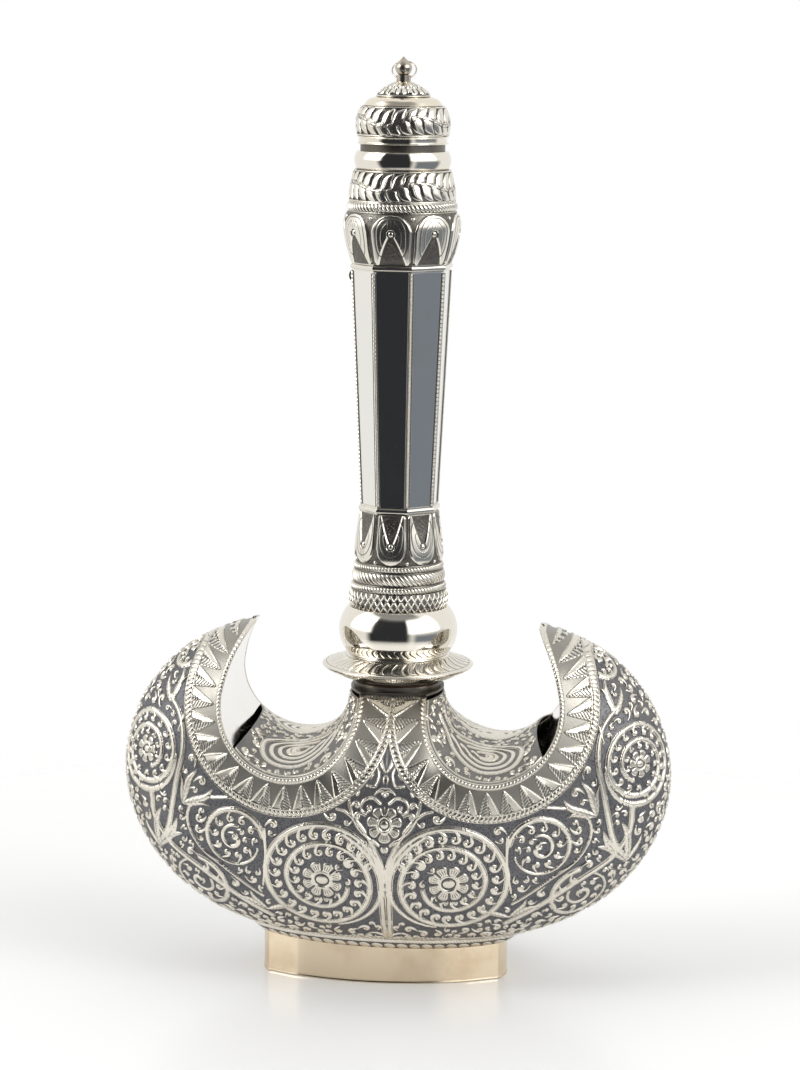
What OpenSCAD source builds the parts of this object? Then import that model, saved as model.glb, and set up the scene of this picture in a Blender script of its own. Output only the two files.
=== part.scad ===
// Silver rosewater sprinkler: a crescent flask with two horns on an oval foot,
// a long eight-sided neck that screws into it, and a domed cap with a ring finial.

/* [Flask] */
// Width of the flask across its widest point
body_w = 149; // [120:1:180]
// Depth of the flask from front to back
body_d = 70.6; // [62:0.2:84]
// Height above the table of the widest point
body_mid_z = 56.2; // [54:0.2:60]
// Half height of the ellipse that the outline follows
body_half_h = 53.2; // [51:0.2:56]
// Half height at which the belly flattens towards the foot
belly_flat_h = 58; // [55:0.5:64]
// Half height at which the horns flatten towards their tips
horn_flat_h = 52.8; // [51:0.2:56]
// Thickness of the flask's sheet
body_wall = 1.0; // [0.8:0.1:1.6]

/* [Notches] */
// Distance of a notch's centre from the flask's axis
notch_x = 27; // [26:0.2:30]
// Height of a notch's centre
notch_z = 78.5; // [77:0.2:80]
// Radius of a notch at its front and back rims
notch_r = 18.2; // [16:0.1:19]
// Rise of the saddle floor between the rims
notch_crest = 4.0; // [1:0.2:5]
// Radius of the horn's long inner curve
horn_r = 38; // [32:1:44]
// Angle at which the notch turns into the horn's long curve
horn_start = 10; // [4:1:16]
// Height of the horn tips
horn_tip_z = 97.0; // [94:0.2:98]
// Angle below level at which the chased floor meets the polished liner
floor_seam = 40; // [30:1:55]
// Thickness of the floor and liner sheets
panel_t = 0.8; // [0.5:0.1:1.0]

/* [Mound] */
// Height of the mound that carries the neck
mound_z = 79.2; // [78.6:0.1:80.4]
// Half depth of the mound at its top
mound_half_d = 12.2; // [12:0.1:13]
// How far the mound flares for each millimetre down
mound_flare = 1.3; // [1.0:0.05:1.6]
// Thickness of the seat plate on the mound
seat_t = 0.7; // [0.5:0.1:1.2]

/* [Foot] */
// Length of the foot
foot_l = 67.2; // [58:0.2:72]
// Width of the foot
foot_w = 30.8; // [26:0.2:34]
// Length of the foot's long front curve
foot_front = 47; // [40:0.5:52]
// Bow of the foot's long curve
foot_bow = 4.3; // [3:0.1:6]
// Width of the foot's two end faces
foot_end_w = 14.2; // [11:0.1:16]
// Bow of the foot's two end faces
foot_end_bow = 2.0; // [1:0.1:3]
// Height of the foot
foot_h = 10.9; // [8:0.1:11]
// Wall of the foot
foot_wall = 1.2; // [0.8:0.1:2]
// Distance that the hand-set foot lies off the axis
foot_shift = -2.6; // [-3:0.1:3]
// Width of the braided border round the foot's top
border_w = 1.2; // [0.8:0.1:1.4]
// Height of the braided border
border_h = 1.5; // [1.2:0.1:1.8]

/* [Socket] */
// Radius of the socket's collar
collar_r = 11.75; // [11.4:0.05:12.1]
// Height of the socket's collar
collar_h = 1.3; // [0.8:0.1:2]
// Radius of the tenon that screws into the socket
tenon_r = 7.6; // [6.5:0.05:8]
// Length of the tenon below the neck
tenon_l = 12; // [9:0.5:13]
// Wall of the tenon
tenon_wall = 1.1; // [0.8:0.1:1.6]
// Wall of the socket tube
socket_wall = 1.1; // [0.8:0.1:1.5]
// Thickness of the leather washer
washer_t = 0.6; // [0.4:0.1:1]
// Radial running clearance of the moving fits
run_gap = 0.06; // [0.03:0.01:0.1]

/* [Neck foot] */
// Radius of the drip pan
pan_r = 20.4; // [17:0.1:22]
// Height of the pan's plain lower cone
pan_low_h = 3.7; // [2.5:0.1:5]
// Height of the pan's gadrooned upper cone
pan_up_h = 3.3; // [2.5:0.1:4]
// Largest radius of the knop
knop_r = 16.05; // [14.5:0.05:18]
// Height of the knop
knop_h = 13; // [10:0.1:15]
// Height of the lattice ring
lattice_h = 4.7; // [3:0.1:6]
// Radius of the lattice ring
lattice_r = 13.35; // [12.8:0.05:14]
// Height of the lower rope ring
rope_low_h = 2.1; // [1.5:0.1:3]
// Height of the wide rope ring
rope_wide_h = 3.6; // [2.5:0.1:5]
// Height of the upper rope ring
rope_up_h = 1.9; // [1.5:0.1:3]
// Radius of the lowest rope ring
rope_r = 12.75; // [12.2:0.05:13]
// Height of the lower petal collar
petal_low_h = 13.6; // [10:0.1:16]
// Largest radius of the lower petal collar
petal_low_r = 11.8; // [11.5:0.05:12.2]

/* [Shaft] */
// Length of the eight-sided shaft
shaft_l = 62.8; // [45:0.1:80]
// Corner radius of the shaft at its foot
shaft_low_r = 10.5; // [10.2:0.05:11]
// Corner radius of the shaft at its head
shaft_up_r = 13.45; // [12.8:0.05:14]
// Bore of the shaft
shaft_bore_r = 8.2; // [7:0.1:8.4]
// Width of the strips on the shaft's corners
strip_w = 1.5; // [1:0.1:2]
// Thickness of the corner strips
strip_t = 0.45; // [0.3:0.05:0.6]
// Height of the two eight-sided frames
frame_h = 2.1; // [1.5:0.1:3]
// Angle from the front at which a corner of the neck lies
neck_turn = 16.5; // [0:0.5:44]

/* [Neck head] */
// Height of the upper petal collar
petal_up_h = 13.4; // [10:0.1:16]
// Largest radius of the upper petal collar
petal_up_r = 15.5; // [14.8:0.05:16.5]
// Height of the rope band
rope_band_h = 2.8; // [2:0.1:4]
// Radius of the rope band
rope_band_r = 14.6; // [14.2:0.05:15]
// Height of the leaf collar
leaf_h = 8.2; // [6:0.1:10]
// Radius of the leaf collar's foot
leaf_low_r = 14.15; // [13.8:0.05:14.4]
// Radius of the leaf collar's head
leaf_up_r = 12.8; // [12.4:0.05:13]
// Height of the polished shoulder
shoulder_h = 4.9; // [3.5:0.1:6]
// Thickness of the neck's raised sheet
neck_wall = 1.3; // [1:0.1:1.5]

/* [Mouth] */
// Outer radius of the mouth
mouth_r = 11.25; // [10.6:0.05:11.35]
// Wall of the mouth
mouth_wall = 1.4; // [1:0.1:1.8]
// Height of the mouth above the shoulder
mouth_h = 6.2; // [5:0.1:6.4]
// Radius of a sprinkling hole
spray_r = 0.5; // [0.3:0.05:0.7]
// Number of holes in the outer circle of the rose
spray_count = 10; // [6:1:14]

/* [Cap] */
// Plain stretch of the mouth left showing under the cap
cap_gap = 1.8; // [1:0.1:2.4]
// Height of the cap's plain skirt
skirt_h = 2.3; // [1.6:0.1:3]
// Outer radius of the skirt
skirt_r = 12.1; // [12:0.05:12.5]
// Height of the cap's leaf band
cap_leaf_h = 7.7; // [7.4:0.1:10]
// Height of the plain step
step_h = 2.5; // [2:0.1:3.5]
// Radius of the plain step
step_r = 10.4; // [9.4:0.1:10.8]
// Radius of the rosette dome
rosette_r = 7.15; // [6:0.05:8]
// Height of the rosette dome
rosette_h = 4.0; // [3.4:0.1:5]
// Thickness of the cap's sheet
cap_wall = 0.75; // [0.6:0.05:0.8]

/* [Finial] */
// Radius of the finial's collar
finial_r = 1.9; // [1.7:0.05:2.1]
// Height of the finial's collar
finial_h = 1.6; // [1.5:0.1:2]
// Radius of the hole for the ring
eye_r = 0.7; // [0.6:0.05:0.7]
// Largest radius of the bud
bud_r = 2.27; // [2:0.01:2.4]
// Height of the bud
bud_h = 4.8; // [4:0.1:5]
// Middle radius of the finial ring
ring_r = 3.2; // [3.1:0.05:3.4]
// Radius of the ring's wire
ring_wire = 0.2; // [0.15:0.01:0.25]
// Angle that the ring leans back from upright
ring_lean = 45; // [35:1:60]

/* [Lug] */
// Radius of the half-round chain lug
lug_r = 1.75; // [1.5:0.05:2]
// Thickness of the chain lug
lug_t = 1.5; // [1:0.1:2]
// Radius of the lug's eye
lug_eye_r = 0.55; // [0.4:0.05:0.6]

/* [Hidden] */
$fn = 64;

silver = "silver";
dark_silver = "dimgray";
warm_silver = "wheat";
leather = "saddlebrown";

// Small clearance between sheets that are soldered edge to edge
solder_gap = 0.2;
// Clearance between round pieces that are soldered one inside the other
sleeve_gap = 0.02;
// How far the braided border stands above the foot
border_lap = 0.6;
half_w = body_w / 2;
half_d = body_d / 2;
mound_spread = 0.002;
u_mound = 3;
u_notch = 24;
u_horn = 9;
v_steps = 10;
// Power that packs the shell's strips closer together near the lip
strip_growth = 1.6;
cross_steps = 8;

// Stations up the neck, each worked out from the one below
z_collar = mound_z + seat_t;
z_washer = z_collar + collar_h;
z_pan = z_washer + washer_t;
z_rim = z_pan + pan_low_h;
z_knop = z_rim + pan_up_h;
z_lattice = z_knop + knop_h;
z_rope_low = z_lattice + lattice_h;
z_rope_wide = z_rope_low + rope_low_h;
z_rope_up = z_rope_wide + rope_wide_h;
z_petal_low = z_rope_up + rope_up_h;
z_frame_low = z_petal_low + petal_low_h;
z_shaft = z_frame_low + frame_h;
z_frame_up = z_shaft + shaft_l;
z_petal_up = z_frame_up + frame_h;
z_rope_band = z_petal_up + petal_up_h;
z_leaf = z_rope_band + rope_band_h;
z_shoulder = z_leaf + leaf_h;
z_mouth = z_shoulder + shoulder_h;
z_rose = z_mouth + mouth_h;
z_skirt = z_mouth + cap_gap;
z_cap_leaf = z_skirt + skirt_h;
z_step = z_cap_leaf + cap_leaf_h;
z_rosette = z_step + step_h;
z_finial = z_rosette + rosette_h;
z_bud = z_finial + finial_h;
z_eye = z_finial + finial_h / 2;

// How far a point of the x-z plane lies inside the flask's outline, 1 at the middle
function inside(x, z) =
    let (dz = z - body_mid_z, flat = dz > 0 ? horn_flat_h : belly_flat_h)
    1 - pow(x / half_w, 2) - pow(dz / body_half_h, 2) - pow(dz / flat, 8);

// Half depth of the flask over a point of the x-z plane
function swell(x, z) =
    let (
        e = half_d * half_d * inside(x, z),
        m = mound_half_d + mound_flare * (mound_z - z) + mound_spread * pow(abs(x), 3)
    )
    e <= 0.0001 ? 0 : pow(pow(e, -3) + pow(max(m, 1), -6), -1 / 6);

// Radius of the outline in a direction from the flask's middle, found by halving
function outline_r(a, low = 10, high = 100, n = 26) =
    n == 0 ? (low + high) / 2 :
    let (mid = (low + high) / 2)
    inside(mid * cos(a), body_mid_z + mid * sin(a)) > 0 ?
        outline_r(a, mid, high, n - 1) : outline_r(a, low, mid, n - 1);

// The notch's path from the mound to the horn's tip: x, z and the way into the metal
mound_a = 180 - asin((mound_z - notch_z) / notch_r);
mound_x = notch_x + notch_r * cos(mound_a);
long_x = notch_x - (horn_r - notch_r) * cos(horn_start);
long_z = notch_z - (horn_r - notch_r) * sin(horn_start);
tip_a = asin((horn_tip_z - long_z) / horn_r);
notch_path = concat(
    [for (i = [0 : u_mound - 1]) [mound_x * i / u_mound, mound_z, 0, -1]],
    [for (i = [0 : u_notch])
        let (a = mound_a + (360 + horn_start - mound_a) * i / u_notch)
        [notch_x + notch_r * cos(a), notch_z + notch_r * sin(a), cos(a), sin(a)]],
    [for (i = [1 : u_horn])
        let (a = horn_start + (tip_a - horn_start) * i / u_horn)
        [long_x + horn_r * cos(a), long_z + horn_r * sin(a), cos(a), sin(a)]]
);
u_half = len(notch_path) - 1;
outline_tip_a = atan2(horn_tip_z + 0.5 - body_mid_z, notch_path[u_half][0] + 0.4);
outline_path = [for (i = [0 : u_half])
    let (a = -90 + (outline_tip_a + 90) * i / u_half, r = outline_r(a))
    [r * cos(a), body_mid_z + r * sin(a)]];

// One strip of the shell runs from the notch's path to the outline
function span(i) = norm([
    outline_path[i][0] - notch_path[i][0], outline_path[i][1] - notch_path[i][1]]);
function lip(i) = swell(notch_path[i][0], notch_path[i][1]);
function wall_at(i) = min(body_wall, 0.4 * span(i), 0.4 * lip(i));

// A point of the front shell: u from the left tip to the right, v from lip to outline
function shell_point(u, v, inner) =
    let (
        i = abs(u), side = u < 0 ? -1 : 1,
        p = notch_path[i], q = outline_path[i], t = sin(90 * pow(v / v_steps, strip_growth)),
        x = p[0] + (q[0] - p[0]) * t, z = p[1] + (q[1] - p[1]) * t,
        y = v == v_steps ? 0 : swell(x, z),
        k = inner ? 1 - wall_at(i) / span(i) : 1,
        m = inner ? 1 - wall_at(i) / lip(i) : 1
    )
    [side * (p[0] + (x - p[0]) * k), -y * m, p[1] + (z - p[1]) * k];

// Closed solid between two grids of the same size
module sheet(outer, inner, rows, cols) {
    n = rows * cols;
    function at(r, c, s) = r * cols + c + s * n;
    polyhedron(
        points = concat(outer, inner),
        faces = concat(
            [for (r = [0 : rows - 2], c = [0 : cols - 2], k = [0, 1]) k == 0 ?
                [at(r, c, 0), at(r + 1, c, 0), at(r + 1, c + 1, 0)] :
                [at(r, c, 0), at(r + 1, c + 1, 0), at(r, c + 1, 0)]],
            [for (r = [0 : rows - 2], c = [0 : cols - 2], k = [0, 1]) k == 0 ?
                [at(r, c, 1), at(r + 1, c + 1, 1), at(r + 1, c, 1)] :
                [at(r, c, 1), at(r, c + 1, 1), at(r + 1, c + 1, 1)]],
            [for (r = [0 : rows - 2], k = [0, 1]) k == 0 ?
                [at(r, 0, 0), at(r, 0, 1), at(r + 1, 0, 1)] :
                [at(r, 0, 0), at(r + 1, 0, 1), at(r + 1, 0, 0)]],
            [for (r = [0 : rows - 2], k = [0, 1]) k == 0 ?
                [at(r, cols - 1, 0), at(r + 1, cols - 1, 1), at(r, cols - 1, 1)] :
                [at(r, cols - 1, 0), at(r + 1, cols - 1, 0), at(r + 1, cols - 1, 1)]],
            [for (c = [0 : cols - 2], k = [0, 1]) k == 0 ?
                [at(0, c, 0), at(0, c + 1, 1), at(0, c, 1)] :
                [at(0, c, 0), at(0, c + 1, 0), at(0, c + 1, 1)]],
            [for (c = [0 : cols - 2], k = [0, 1]) k == 0 ?
                [at(rows - 1, c, 0), at(rows - 1, c, 1), at(rows - 1, c + 1, 1)] :
                [at(rows - 1, c, 0), at(rows - 1, c + 1, 1), at(rows - 1, c + 1, 0)]]
        )
    );
}

module half_shell() {
    outer = [for (u = [-u_half : u_half], v = [0 : v_steps]) shell_point(u, v, false)];
    inner = [for (u = [-u_half : u_half], v = [0 : v_steps]) shell_point(u, v, true)];
    sheet(outer, inner, 2 * u_half + 1, v_steps + 1);
}

// A sheet that lines the notch between the shells, over part of the notch's path
module notch_sheet(first, last, crest) {
    function limit(i, depth) =
        let (p = notch_path[i])
        swell(p[0] + p[2] * depth, p[1] + p[3] * depth) * (1 - wall_at(i) / lip(i)) - solder_gap;
    function depth_at(i) = min(panel_t, 0.25 * span(i));
    function place(i, j, depth) =
        let (
            p = notch_path[i], s = 2 * j / cross_steps - 1,
            d = depth - crest * (1 - s * s)
        )
        [p[0] + p[2] * d, s * limit(i, depth), p[1] + p[3] * d];
    outer = [for (i = [first : last], j = [0 : cross_steps]) place(i, j, 0)];
    inner = [for (i = [first : last], j = [0 : cross_steps]) place(i, j, depth_at(i))];
    sheet(outer, inner, last - first + 1, cross_steps + 1);
}

// Index on the notch's path at which the floor ends and the liner begins
seam_i = u_mound + round(u_notch * (360 - floor_seam - mound_a) / (360 + horn_start - mound_a));

module front_shell() {
    color(dark_silver) half_shell();
}

module back_shell() {
    color(dark_silver) mirror([0, 1, 0]) half_shell();
}

module notch_floor_right() {
    color(silver) notch_sheet(u_mound + 1, seam_i, notch_crest);
}

module notch_floor_left() {
    color(silver) mirror([1, 0, 0]) notch_sheet(u_mound + 1, seam_i, notch_crest);
}

module horn_liner_right() {
    color(warm_silver) notch_sheet(seam_i + 1, u_half, 0);
}

module horn_liner_left() {
    color(warm_silver) mirror([1, 0, 0]) notch_sheet(seam_i + 1, u_half, 0);
}

// Foot: two long curves, cut corners and two slightly bowed ends
function foot_arc(half_l, half_w, bow, n) =
    let (r = (half_l * half_l + bow * bow) / (2 * bow), a = asin(half_l / r))
    [for (i = [0 : n]) let (b = a * (1 - 2 * i / n)) [r * sin(b), half_w - r + r * cos(b)]];

module foot_outline() {
    front = foot_arc(foot_front / 2, foot_w / 2, foot_bow, 16);
    side = foot_arc(foot_end_w / 2, foot_l / 2, foot_end_bow, 8);
    polygon(concat(
        front,
        [for (p = side) [-p[1], p[0]]],
        [for (p = front) [-p[0], -p[1]]],
        [for (p = side) [p[1], -p[0]]]
    ));
}

module foot_ring() {
    color(warm_silver) translate([foot_shift, 0, 0]) linear_extrude(foot_h) difference() {
        foot_outline();
        scale([1 - 2 * foot_wall / foot_l, 1 - 2 * foot_wall / foot_w]) foot_outline();
    }
}

module foot_border() {
    color(silver) translate([foot_shift, 0, foot_h + border_lap - border_h]) linear_extrude(border_h)
        difference() {
            scale([1 + 2 * border_w / foot_l, 1 + 2 * border_w / foot_w]) foot_outline();
            scale([1 + 3 * sleeve_gap / foot_l, 1 + 3 * sleeve_gap / foot_w]) foot_outline();
        }
}

// Seat plate over the mound's open top, as wide as the notches leave it
seat_lap = 0.15;

module seat_plate() {
    depth = mound_half_d + seat_lap;
    swell_out = notch_crest - 0.2;
    n = 12;
    edge = [for (i = [0 : n])
        let (s = 2 * i / n - 1)
        [-mound_x - swell_out * (1 - s * s), -depth * s]];
    color(dark_silver) translate([0, 0, mound_z]) difference() {
        linear_extrude(seat_t) polygon(concat(edge, [for (p = edge) [-p[0], -p[1]]]));
        translate([0, 0, -1]) cylinder(r = socket_r + sleeve_gap, h = seat_t + 2);
    }
}

socket_bore = tenon_r + run_gap;
socket_r = socket_bore + socket_wall;
// Length of socket left free below the tenon
socket_spare = 1.5;

module neck_socket() {
    tube_l = tenon_l + socket_spare - washer_t;
    color(dark_silver) difference() {
        union() {
            translate([0, 0, z_collar]) cylinder(r = collar_r, h = collar_h);
            translate([0, 0, z_washer - tube_l]) cylinder(r = socket_r, h = tube_l);
        }
        translate([0, 0, z_washer - tube_l - 1]) cylinder(r = socket_bore, h = tube_l + 2);
    }
}

module neck_washer() {
    color(leather) translate([0, 0, z_washer]) difference() {
        cylinder(r = collar_r - washer_inset, h = washer_t);
        translate([0, 0, -1]) cylinder(r = tenon_r + run_gap, h = washer_t + 2);
    }
}

tenon_bore = tenon_r - tenon_wall;
// Thickness of the pan's floor and of the tenon's flange above it
pan_floor = 0.9;
flange_w = 1.6;
washer_inset = 0.4;

module neck_tenon() {
    color(silver) difference() {
        union() {
            translate([0, 0, z_pan - tenon_l]) cylinder(r = tenon_r, h = tenon_l + pan_floor);
            translate([0, 0, z_pan + pan_floor]) cylinder(r = tenon_r + flange_w, h = pan_floor);
        }
        translate([0, 0, z_pan - tenon_l - 1]) cylinder(r = tenon_bore, h = tenon_l + 4);
    }
}

module ring_profile(z, points) {
    translate([0, 0, z]) rotate_extrude() polygon(points);
}

module drip_pan_lower() {
    edge = pan_r - 0.15;
    color(dark_silver) ring_profile(z_pan, [
        [tenon_r + sleeve_gap, 0], [collar_r + 0.45, 0], [edge, pan_low_h - 0.15],
        [edge, pan_low_h], [edge - 1.6, pan_low_h], [collar_r + 0.1, pan_floor],
        [tenon_r + sleeve_gap, pan_floor]
    ]);
}

knop_end_r = lattice_r + 0.05;

module drip_pan_upper() {
    color(silver) ring_profile(z_rim, [
        [pan_r - 1.8, 0], [pan_r, 0], [pan_r, 0.25], [knop_end_r + 2.6, pan_up_h - 1.5],
        [knop_end_r + 0.2, pan_up_h], [knop_end_r - 2.4, pan_up_h],
        [knop_end_r - 2.4, pan_up_h - 0.8], [knop_end_r + 1.6, pan_up_h - 2.1]
    ]);
}

// The knop's section is an arc of a circle, so that the knop is a true torus
knop_bow = knop_r - knop_end_r;
knop_arc_r = (knop_h * knop_h / 4 + knop_bow * knop_bow) / (2 * knop_bow);

module knop() {
    color(silver) translate([0, 0, z_knop + knop_h / 2]) rotate_extrude() intersection() {
        difference() {
            translate([knop_r - knop_arc_r, 0]) circle(r = knop_arc_r);
            translate([knop_r - knop_arc_r, 0]) circle(r = knop_arc_r - 1);
        }
        translate([knop_end_r - 1.5, -knop_h / 2]) square([knop_bow + 3, knop_h]);
    }
}

// A ring with a rounded outside
module bead_ring(z, r, h, bow, wall) {
    arc_r = (h * h / 4 + bow * bow) / (2 * bow);
    translate([0, 0, z + h / 2]) rotate_extrude() intersection() {
        translate([r - arc_r, 0]) circle(r = arc_r);
        translate([r - bow - wall, -h / 2]) square([wall + 2 * bow, h]);
    }
}

module lattice_ring() {
    color(silver) bead_ring(z_lattice, lattice_r, lattice_h, 0.5, 2.0);
}

module rope_ring_lower() {
    color(silver) bead_ring(z_rope_low, rope_r, rope_low_h, 0.6, 1.9);
}

module rope_ring_wide() {
    color(silver) bead_ring(z_rope_wide, rope_r - 0.3, rope_wide_h, 0.5, 2.0);
}

module rope_ring_upper() {
    color(silver) bead_ring(z_rope_up, rope_r - 0.75, rope_up_h, 0.55, 1.9);
}

module petal_collar_lower() {
    r = petal_low_r;
    h = petal_low_h;
    w = neck_wall;
    color(silver) ring_profile(z_petal_low, [
        [r - 0.4, 0], [r, h * 0.12], [r, h * 0.25], [r - 0.35, h * 0.5], [r - 0.9, h * 0.8],
        [r - 1.1, h], [r - 1.1 - w, h], [r - 0.9 - w, h * 0.8], [r - 0.35 - w, h * 0.5],
        [r - w, h * 0.25], [r - w, h * 0.12], [r - 0.4 - w, 0]
    ]);
}

// Corner angle of the eight-sided neck, counted from +X
corner_a = neck_turn - 90;

module octagon(r) {
    polygon([for (k = [0 : 7]) r * [cos(corner_a + 45 * k), sin(corner_a + 45 * k)]]);
}

module eight_frame(z, r) {
    translate([0, 0, z]) difference() {
        linear_extrude(frame_h) octagon(r);
        translate([0, 0, -1]) cylinder(r = shaft_bore_r, h = frame_h + 2);
    }
}

module frame_lower() {
    color(silver) eight_frame(z_frame_low, shaft_low_r + 0.7);
}

module frame_upper() {
    color(silver) eight_frame(z_frame_up, shaft_up_r + 0.45);
}

// Distance of a corner's flat from the axis, for a corner radius
function flat_d(r) = r - strip_w * 0.5 * tan(22.5);

// Tapered eight-sided shaft whose corners are cut flat for the strips
module shaft() {
    function section(r, z) = [for (k = [0 : 7], s = [-1, 1])
        let (a = corner_a + 45 * k, d = flat_d(r), w = s * strip_w / 2)
        [d * cos(a) - w * sin(a), d * sin(a) + w * cos(a), z]];
    color(silver) difference() {
        polyhedron(
            points = concat(
                section(shaft_low_r, z_shaft), section(shaft_up_r, z_shaft + shaft_l)),
            faces = concat(
                [[for (k = [0 : 15]) k], [for (k = [0 : 15]) 31 - k]],
                [for (k = [0 : 15]) [k, 16 + k, 16 + (k + 1) % 16, (k + 1) % 16]]
            )
        );
        translate([0, 0, z_shaft - 1]) cylinder(r = shaft_bore_r, h = shaft_l + 2);
    }
}

module corner_strips() {
    rise = shaft_up_r - shaft_low_r;
    lean = atan2(rise, shaft_l);
    color(silver) for (k = [0 : 7])
        rotate([0, 0, corner_a + 45 * k])
            translate([flat_d(shaft_low_r) + sleeve_gap, -(strip_w - 0.1) / 2, z_shaft + 0.15])
                rotate([0, lean, 0])
                    cube([strip_t, strip_w - 0.1, (shaft_l - 0.4) / cos(lean)]);
}

// Half-round lug with an eye, on the side face just under the upper frame
lug_a = corner_a + 22.5 + 45 * 5;
lug_z = z_frame_up - lug_r - 0.1;
lug_d = shaft_up_r * cos(22.5) + sleeve_gap;
lug_eye_out = 0.9;

module chain_lug() {
    color(dark_silver) rotate([0, 0, lug_a]) translate([lug_d, 0, lug_z]) difference() {
        intersection() {
            rotate([90, 0, 0]) cylinder(r = lug_r, h = lug_t, center = true);
            translate([0, -lug_t, -lug_r - 1]) cube([lug_r + 1, 2 * lug_t, 2 * lug_r + 2]);
        }
        translate([lug_eye_out, 0, 0]) rotate([90, 0, 0])
            cylinder(r = lug_eye_r, h = lug_t + 2, center = true);
    }
}

module petal_collar_upper() {
    r = petal_up_r;
    h = petal_up_h;
    w = neck_wall;
    foot = shaft_up_r - 0.15;
    head = rope_band_r + 0.1;
    color(silver) ring_profile(z_petal_up, [
        [foot, 0], [foot + 0.7, h * 0.15], [r - 0.6, h * 0.4], [r, h * 0.68],
        [r - 0.2, h * 0.85], [head, h], [head - w, h], [r - 0.2 - w, h * 0.85],
        [r - w, h * 0.68], [r - 0.6 - w, h * 0.4], [foot + 0.7 - w, h * 0.15], [foot - w, 0]
    ]);
}

module rope_band() {
    color(silver) bead_ring(z_rope_band, rope_band_r, rope_band_h, 0.5, 1.6);
}

module leaf_collar() {
    h = leaf_h;
    w = neck_wall;
    mid = (leaf_low_r + leaf_up_r) / 2 + 0.35;
    color(silver) ring_profile(z_leaf, [
        [leaf_low_r, 0], [mid, h * 0.5], [leaf_up_r, h], [leaf_up_r - w, h],
        [mid - w, h * 0.5], [leaf_low_r - w, 0]
    ]);
}

module shoulder_ring() {
    inner = mouth_r - mouth_wall;
    color(silver) bead_ring(z_shoulder, leaf_up_r + 0.05, shoulder_h, 0.7, leaf_up_r - 0.65 - inner);
}

module mouth_tube() {
    color(dark_silver) translate([0, 0, z_mouth]) difference() {
        cylinder(r = mouth_r, h = mouth_h);
        translate([0, 0, -1]) cylinder(r = mouth_r - mouth_wall, h = mouth_h + 2);
    }
}

// Perforated dome that closes the mouth
rose_t = 0.7;
rose_rise = 1.7;
rose_r = mouth_r - mouth_wall;
rose_ball = (rose_r * rose_r + rose_rise * rose_rise) / (2 * rose_rise);

module sprinkler_rose() {
    color(silver) translate([0, 0, z_rose]) difference() {
        rotate_extrude() union() {
            translate([rose_r - 0.4, 0]) square([mouth_wall + 0.35, rose_t]);
            intersection() {
                difference() {
                    translate([0, rose_t + rose_rise - rose_ball]) circle(r = rose_ball);
                    translate([0, rose_rise - rose_ball]) circle(r = rose_ball);
                }
                square([rose_r, rose_t + rose_rise]);
            }
        }
        translate([0, 0, -1]) cylinder(r = spray_r, h = 6);
        for (k = [0 : spray_count - 1])
            rotate([0, 0, 360 * k / spray_count]) translate([rose_r * 0.68, 0, -1])
                cylinder(r = spray_r, h = 6);
        for (k = [0 : spray_count / 2 - 1])
            rotate([0, 0, 720 * k / spray_count]) translate([rose_r * 0.36, 0, -1])
                cylinder(r = spray_r, h = 6);
    }
}

cap_bore = mouth_r + run_gap;

module cap_skirt() {
    color(silver) translate([0, 0, z_skirt]) difference() {
        cylinder(r = skirt_r, h = skirt_h);
        translate([0, 0, -1]) cylinder(r = cap_bore, h = skirt_h + 2);
    }
}

module cap_leaf_band() {
    h = cap_leaf_h;
    r = skirt_r;
    w = cap_wall;
    bore = cap_bore + 0.1;
    color(silver) ring_profile(z_cap_leaf, [
        [r, 0], [r + 0.35, h * 0.3], [r + 0.2, h * 0.57], [r - 0.4, h * 0.82],
        [step_r + 0.5, h], [step_r - 0.4, h], [r - 0.4 - w, h * 0.82],
        [r + 0.1 - w, h * 0.57], [bore, h * 0.4], [bore, 0]
    ]);
}

module cap_step() {
    w = cap_wall;
    color(warm_silver) ring_profile(z_step, [
        [step_r - w - 0.2, 0], [step_r, 0], [step_r - 0.1, step_h * 0.6],
        [step_r - 0.8, step_h], [stem_r + sleeve_gap, step_h], [stem_r + sleeve_gap, step_h - w],
        [step_r - w - 0.3, step_h - w]
    ]);
}

stem_r = 1.2;
dome_r = (rosette_r * rosette_r + rosette_h * rosette_h) / (2 * rosette_h);

module cap_rosette() {
    color(silver) translate([0, 0, z_rosette]) rotate_extrude() intersection() {
        difference() {
            translate([0, rosette_h - dome_r]) circle(r = dome_r);
            translate([0, rosette_h - dome_r]) circle(r = dome_r - cap_wall);
        }
        translate([stem_r + sleeve_gap, 0]) square([rosette_r, rosette_h - 0.12]);
    }
}

module finial_collar() {
    color(silver) difference() {
        union() {
            translate([0, 0, z_rosette - cap_wall]) cylinder(r = stem_r, h = rosette_h + 1);
            translate([0, 0, z_finial]) cylinder(r = finial_r, h = finial_h);
        }
        translate([0, 0, z_eye]) rotate([0, 90, 0])
            cylinder(r = eye_r, h = 4 * finial_r, center = true);
    }
}

module finial_bud() {
    color(silver) ring_profile(z_bud, [
        [0, 0], [bud_r * 0.55, 0], [bud_r * 0.8, bud_h * 0.12], [bud_r * 0.97, bud_h * 0.3],
        [bud_r, bud_h * 0.42], [bud_r * 0.9, bud_h * 0.56], [bud_r * 0.66, bud_h * 0.7],
        [bud_r * 0.36, bud_h * 0.84], [bud_r * 0.12, bud_h * 0.96], [0, bud_h]
    ]);
}

module finial_ring() {
    color(silver) translate([0, 0, z_eye]) rotate([-ring_lean, 0, 0])
        translate([0, 0, ring_r - eye_r / 2]) rotate([90, 0, 0]) rotate_extrude()
            translate([ring_r, 0]) circle(r = ring_wire);
}

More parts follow.
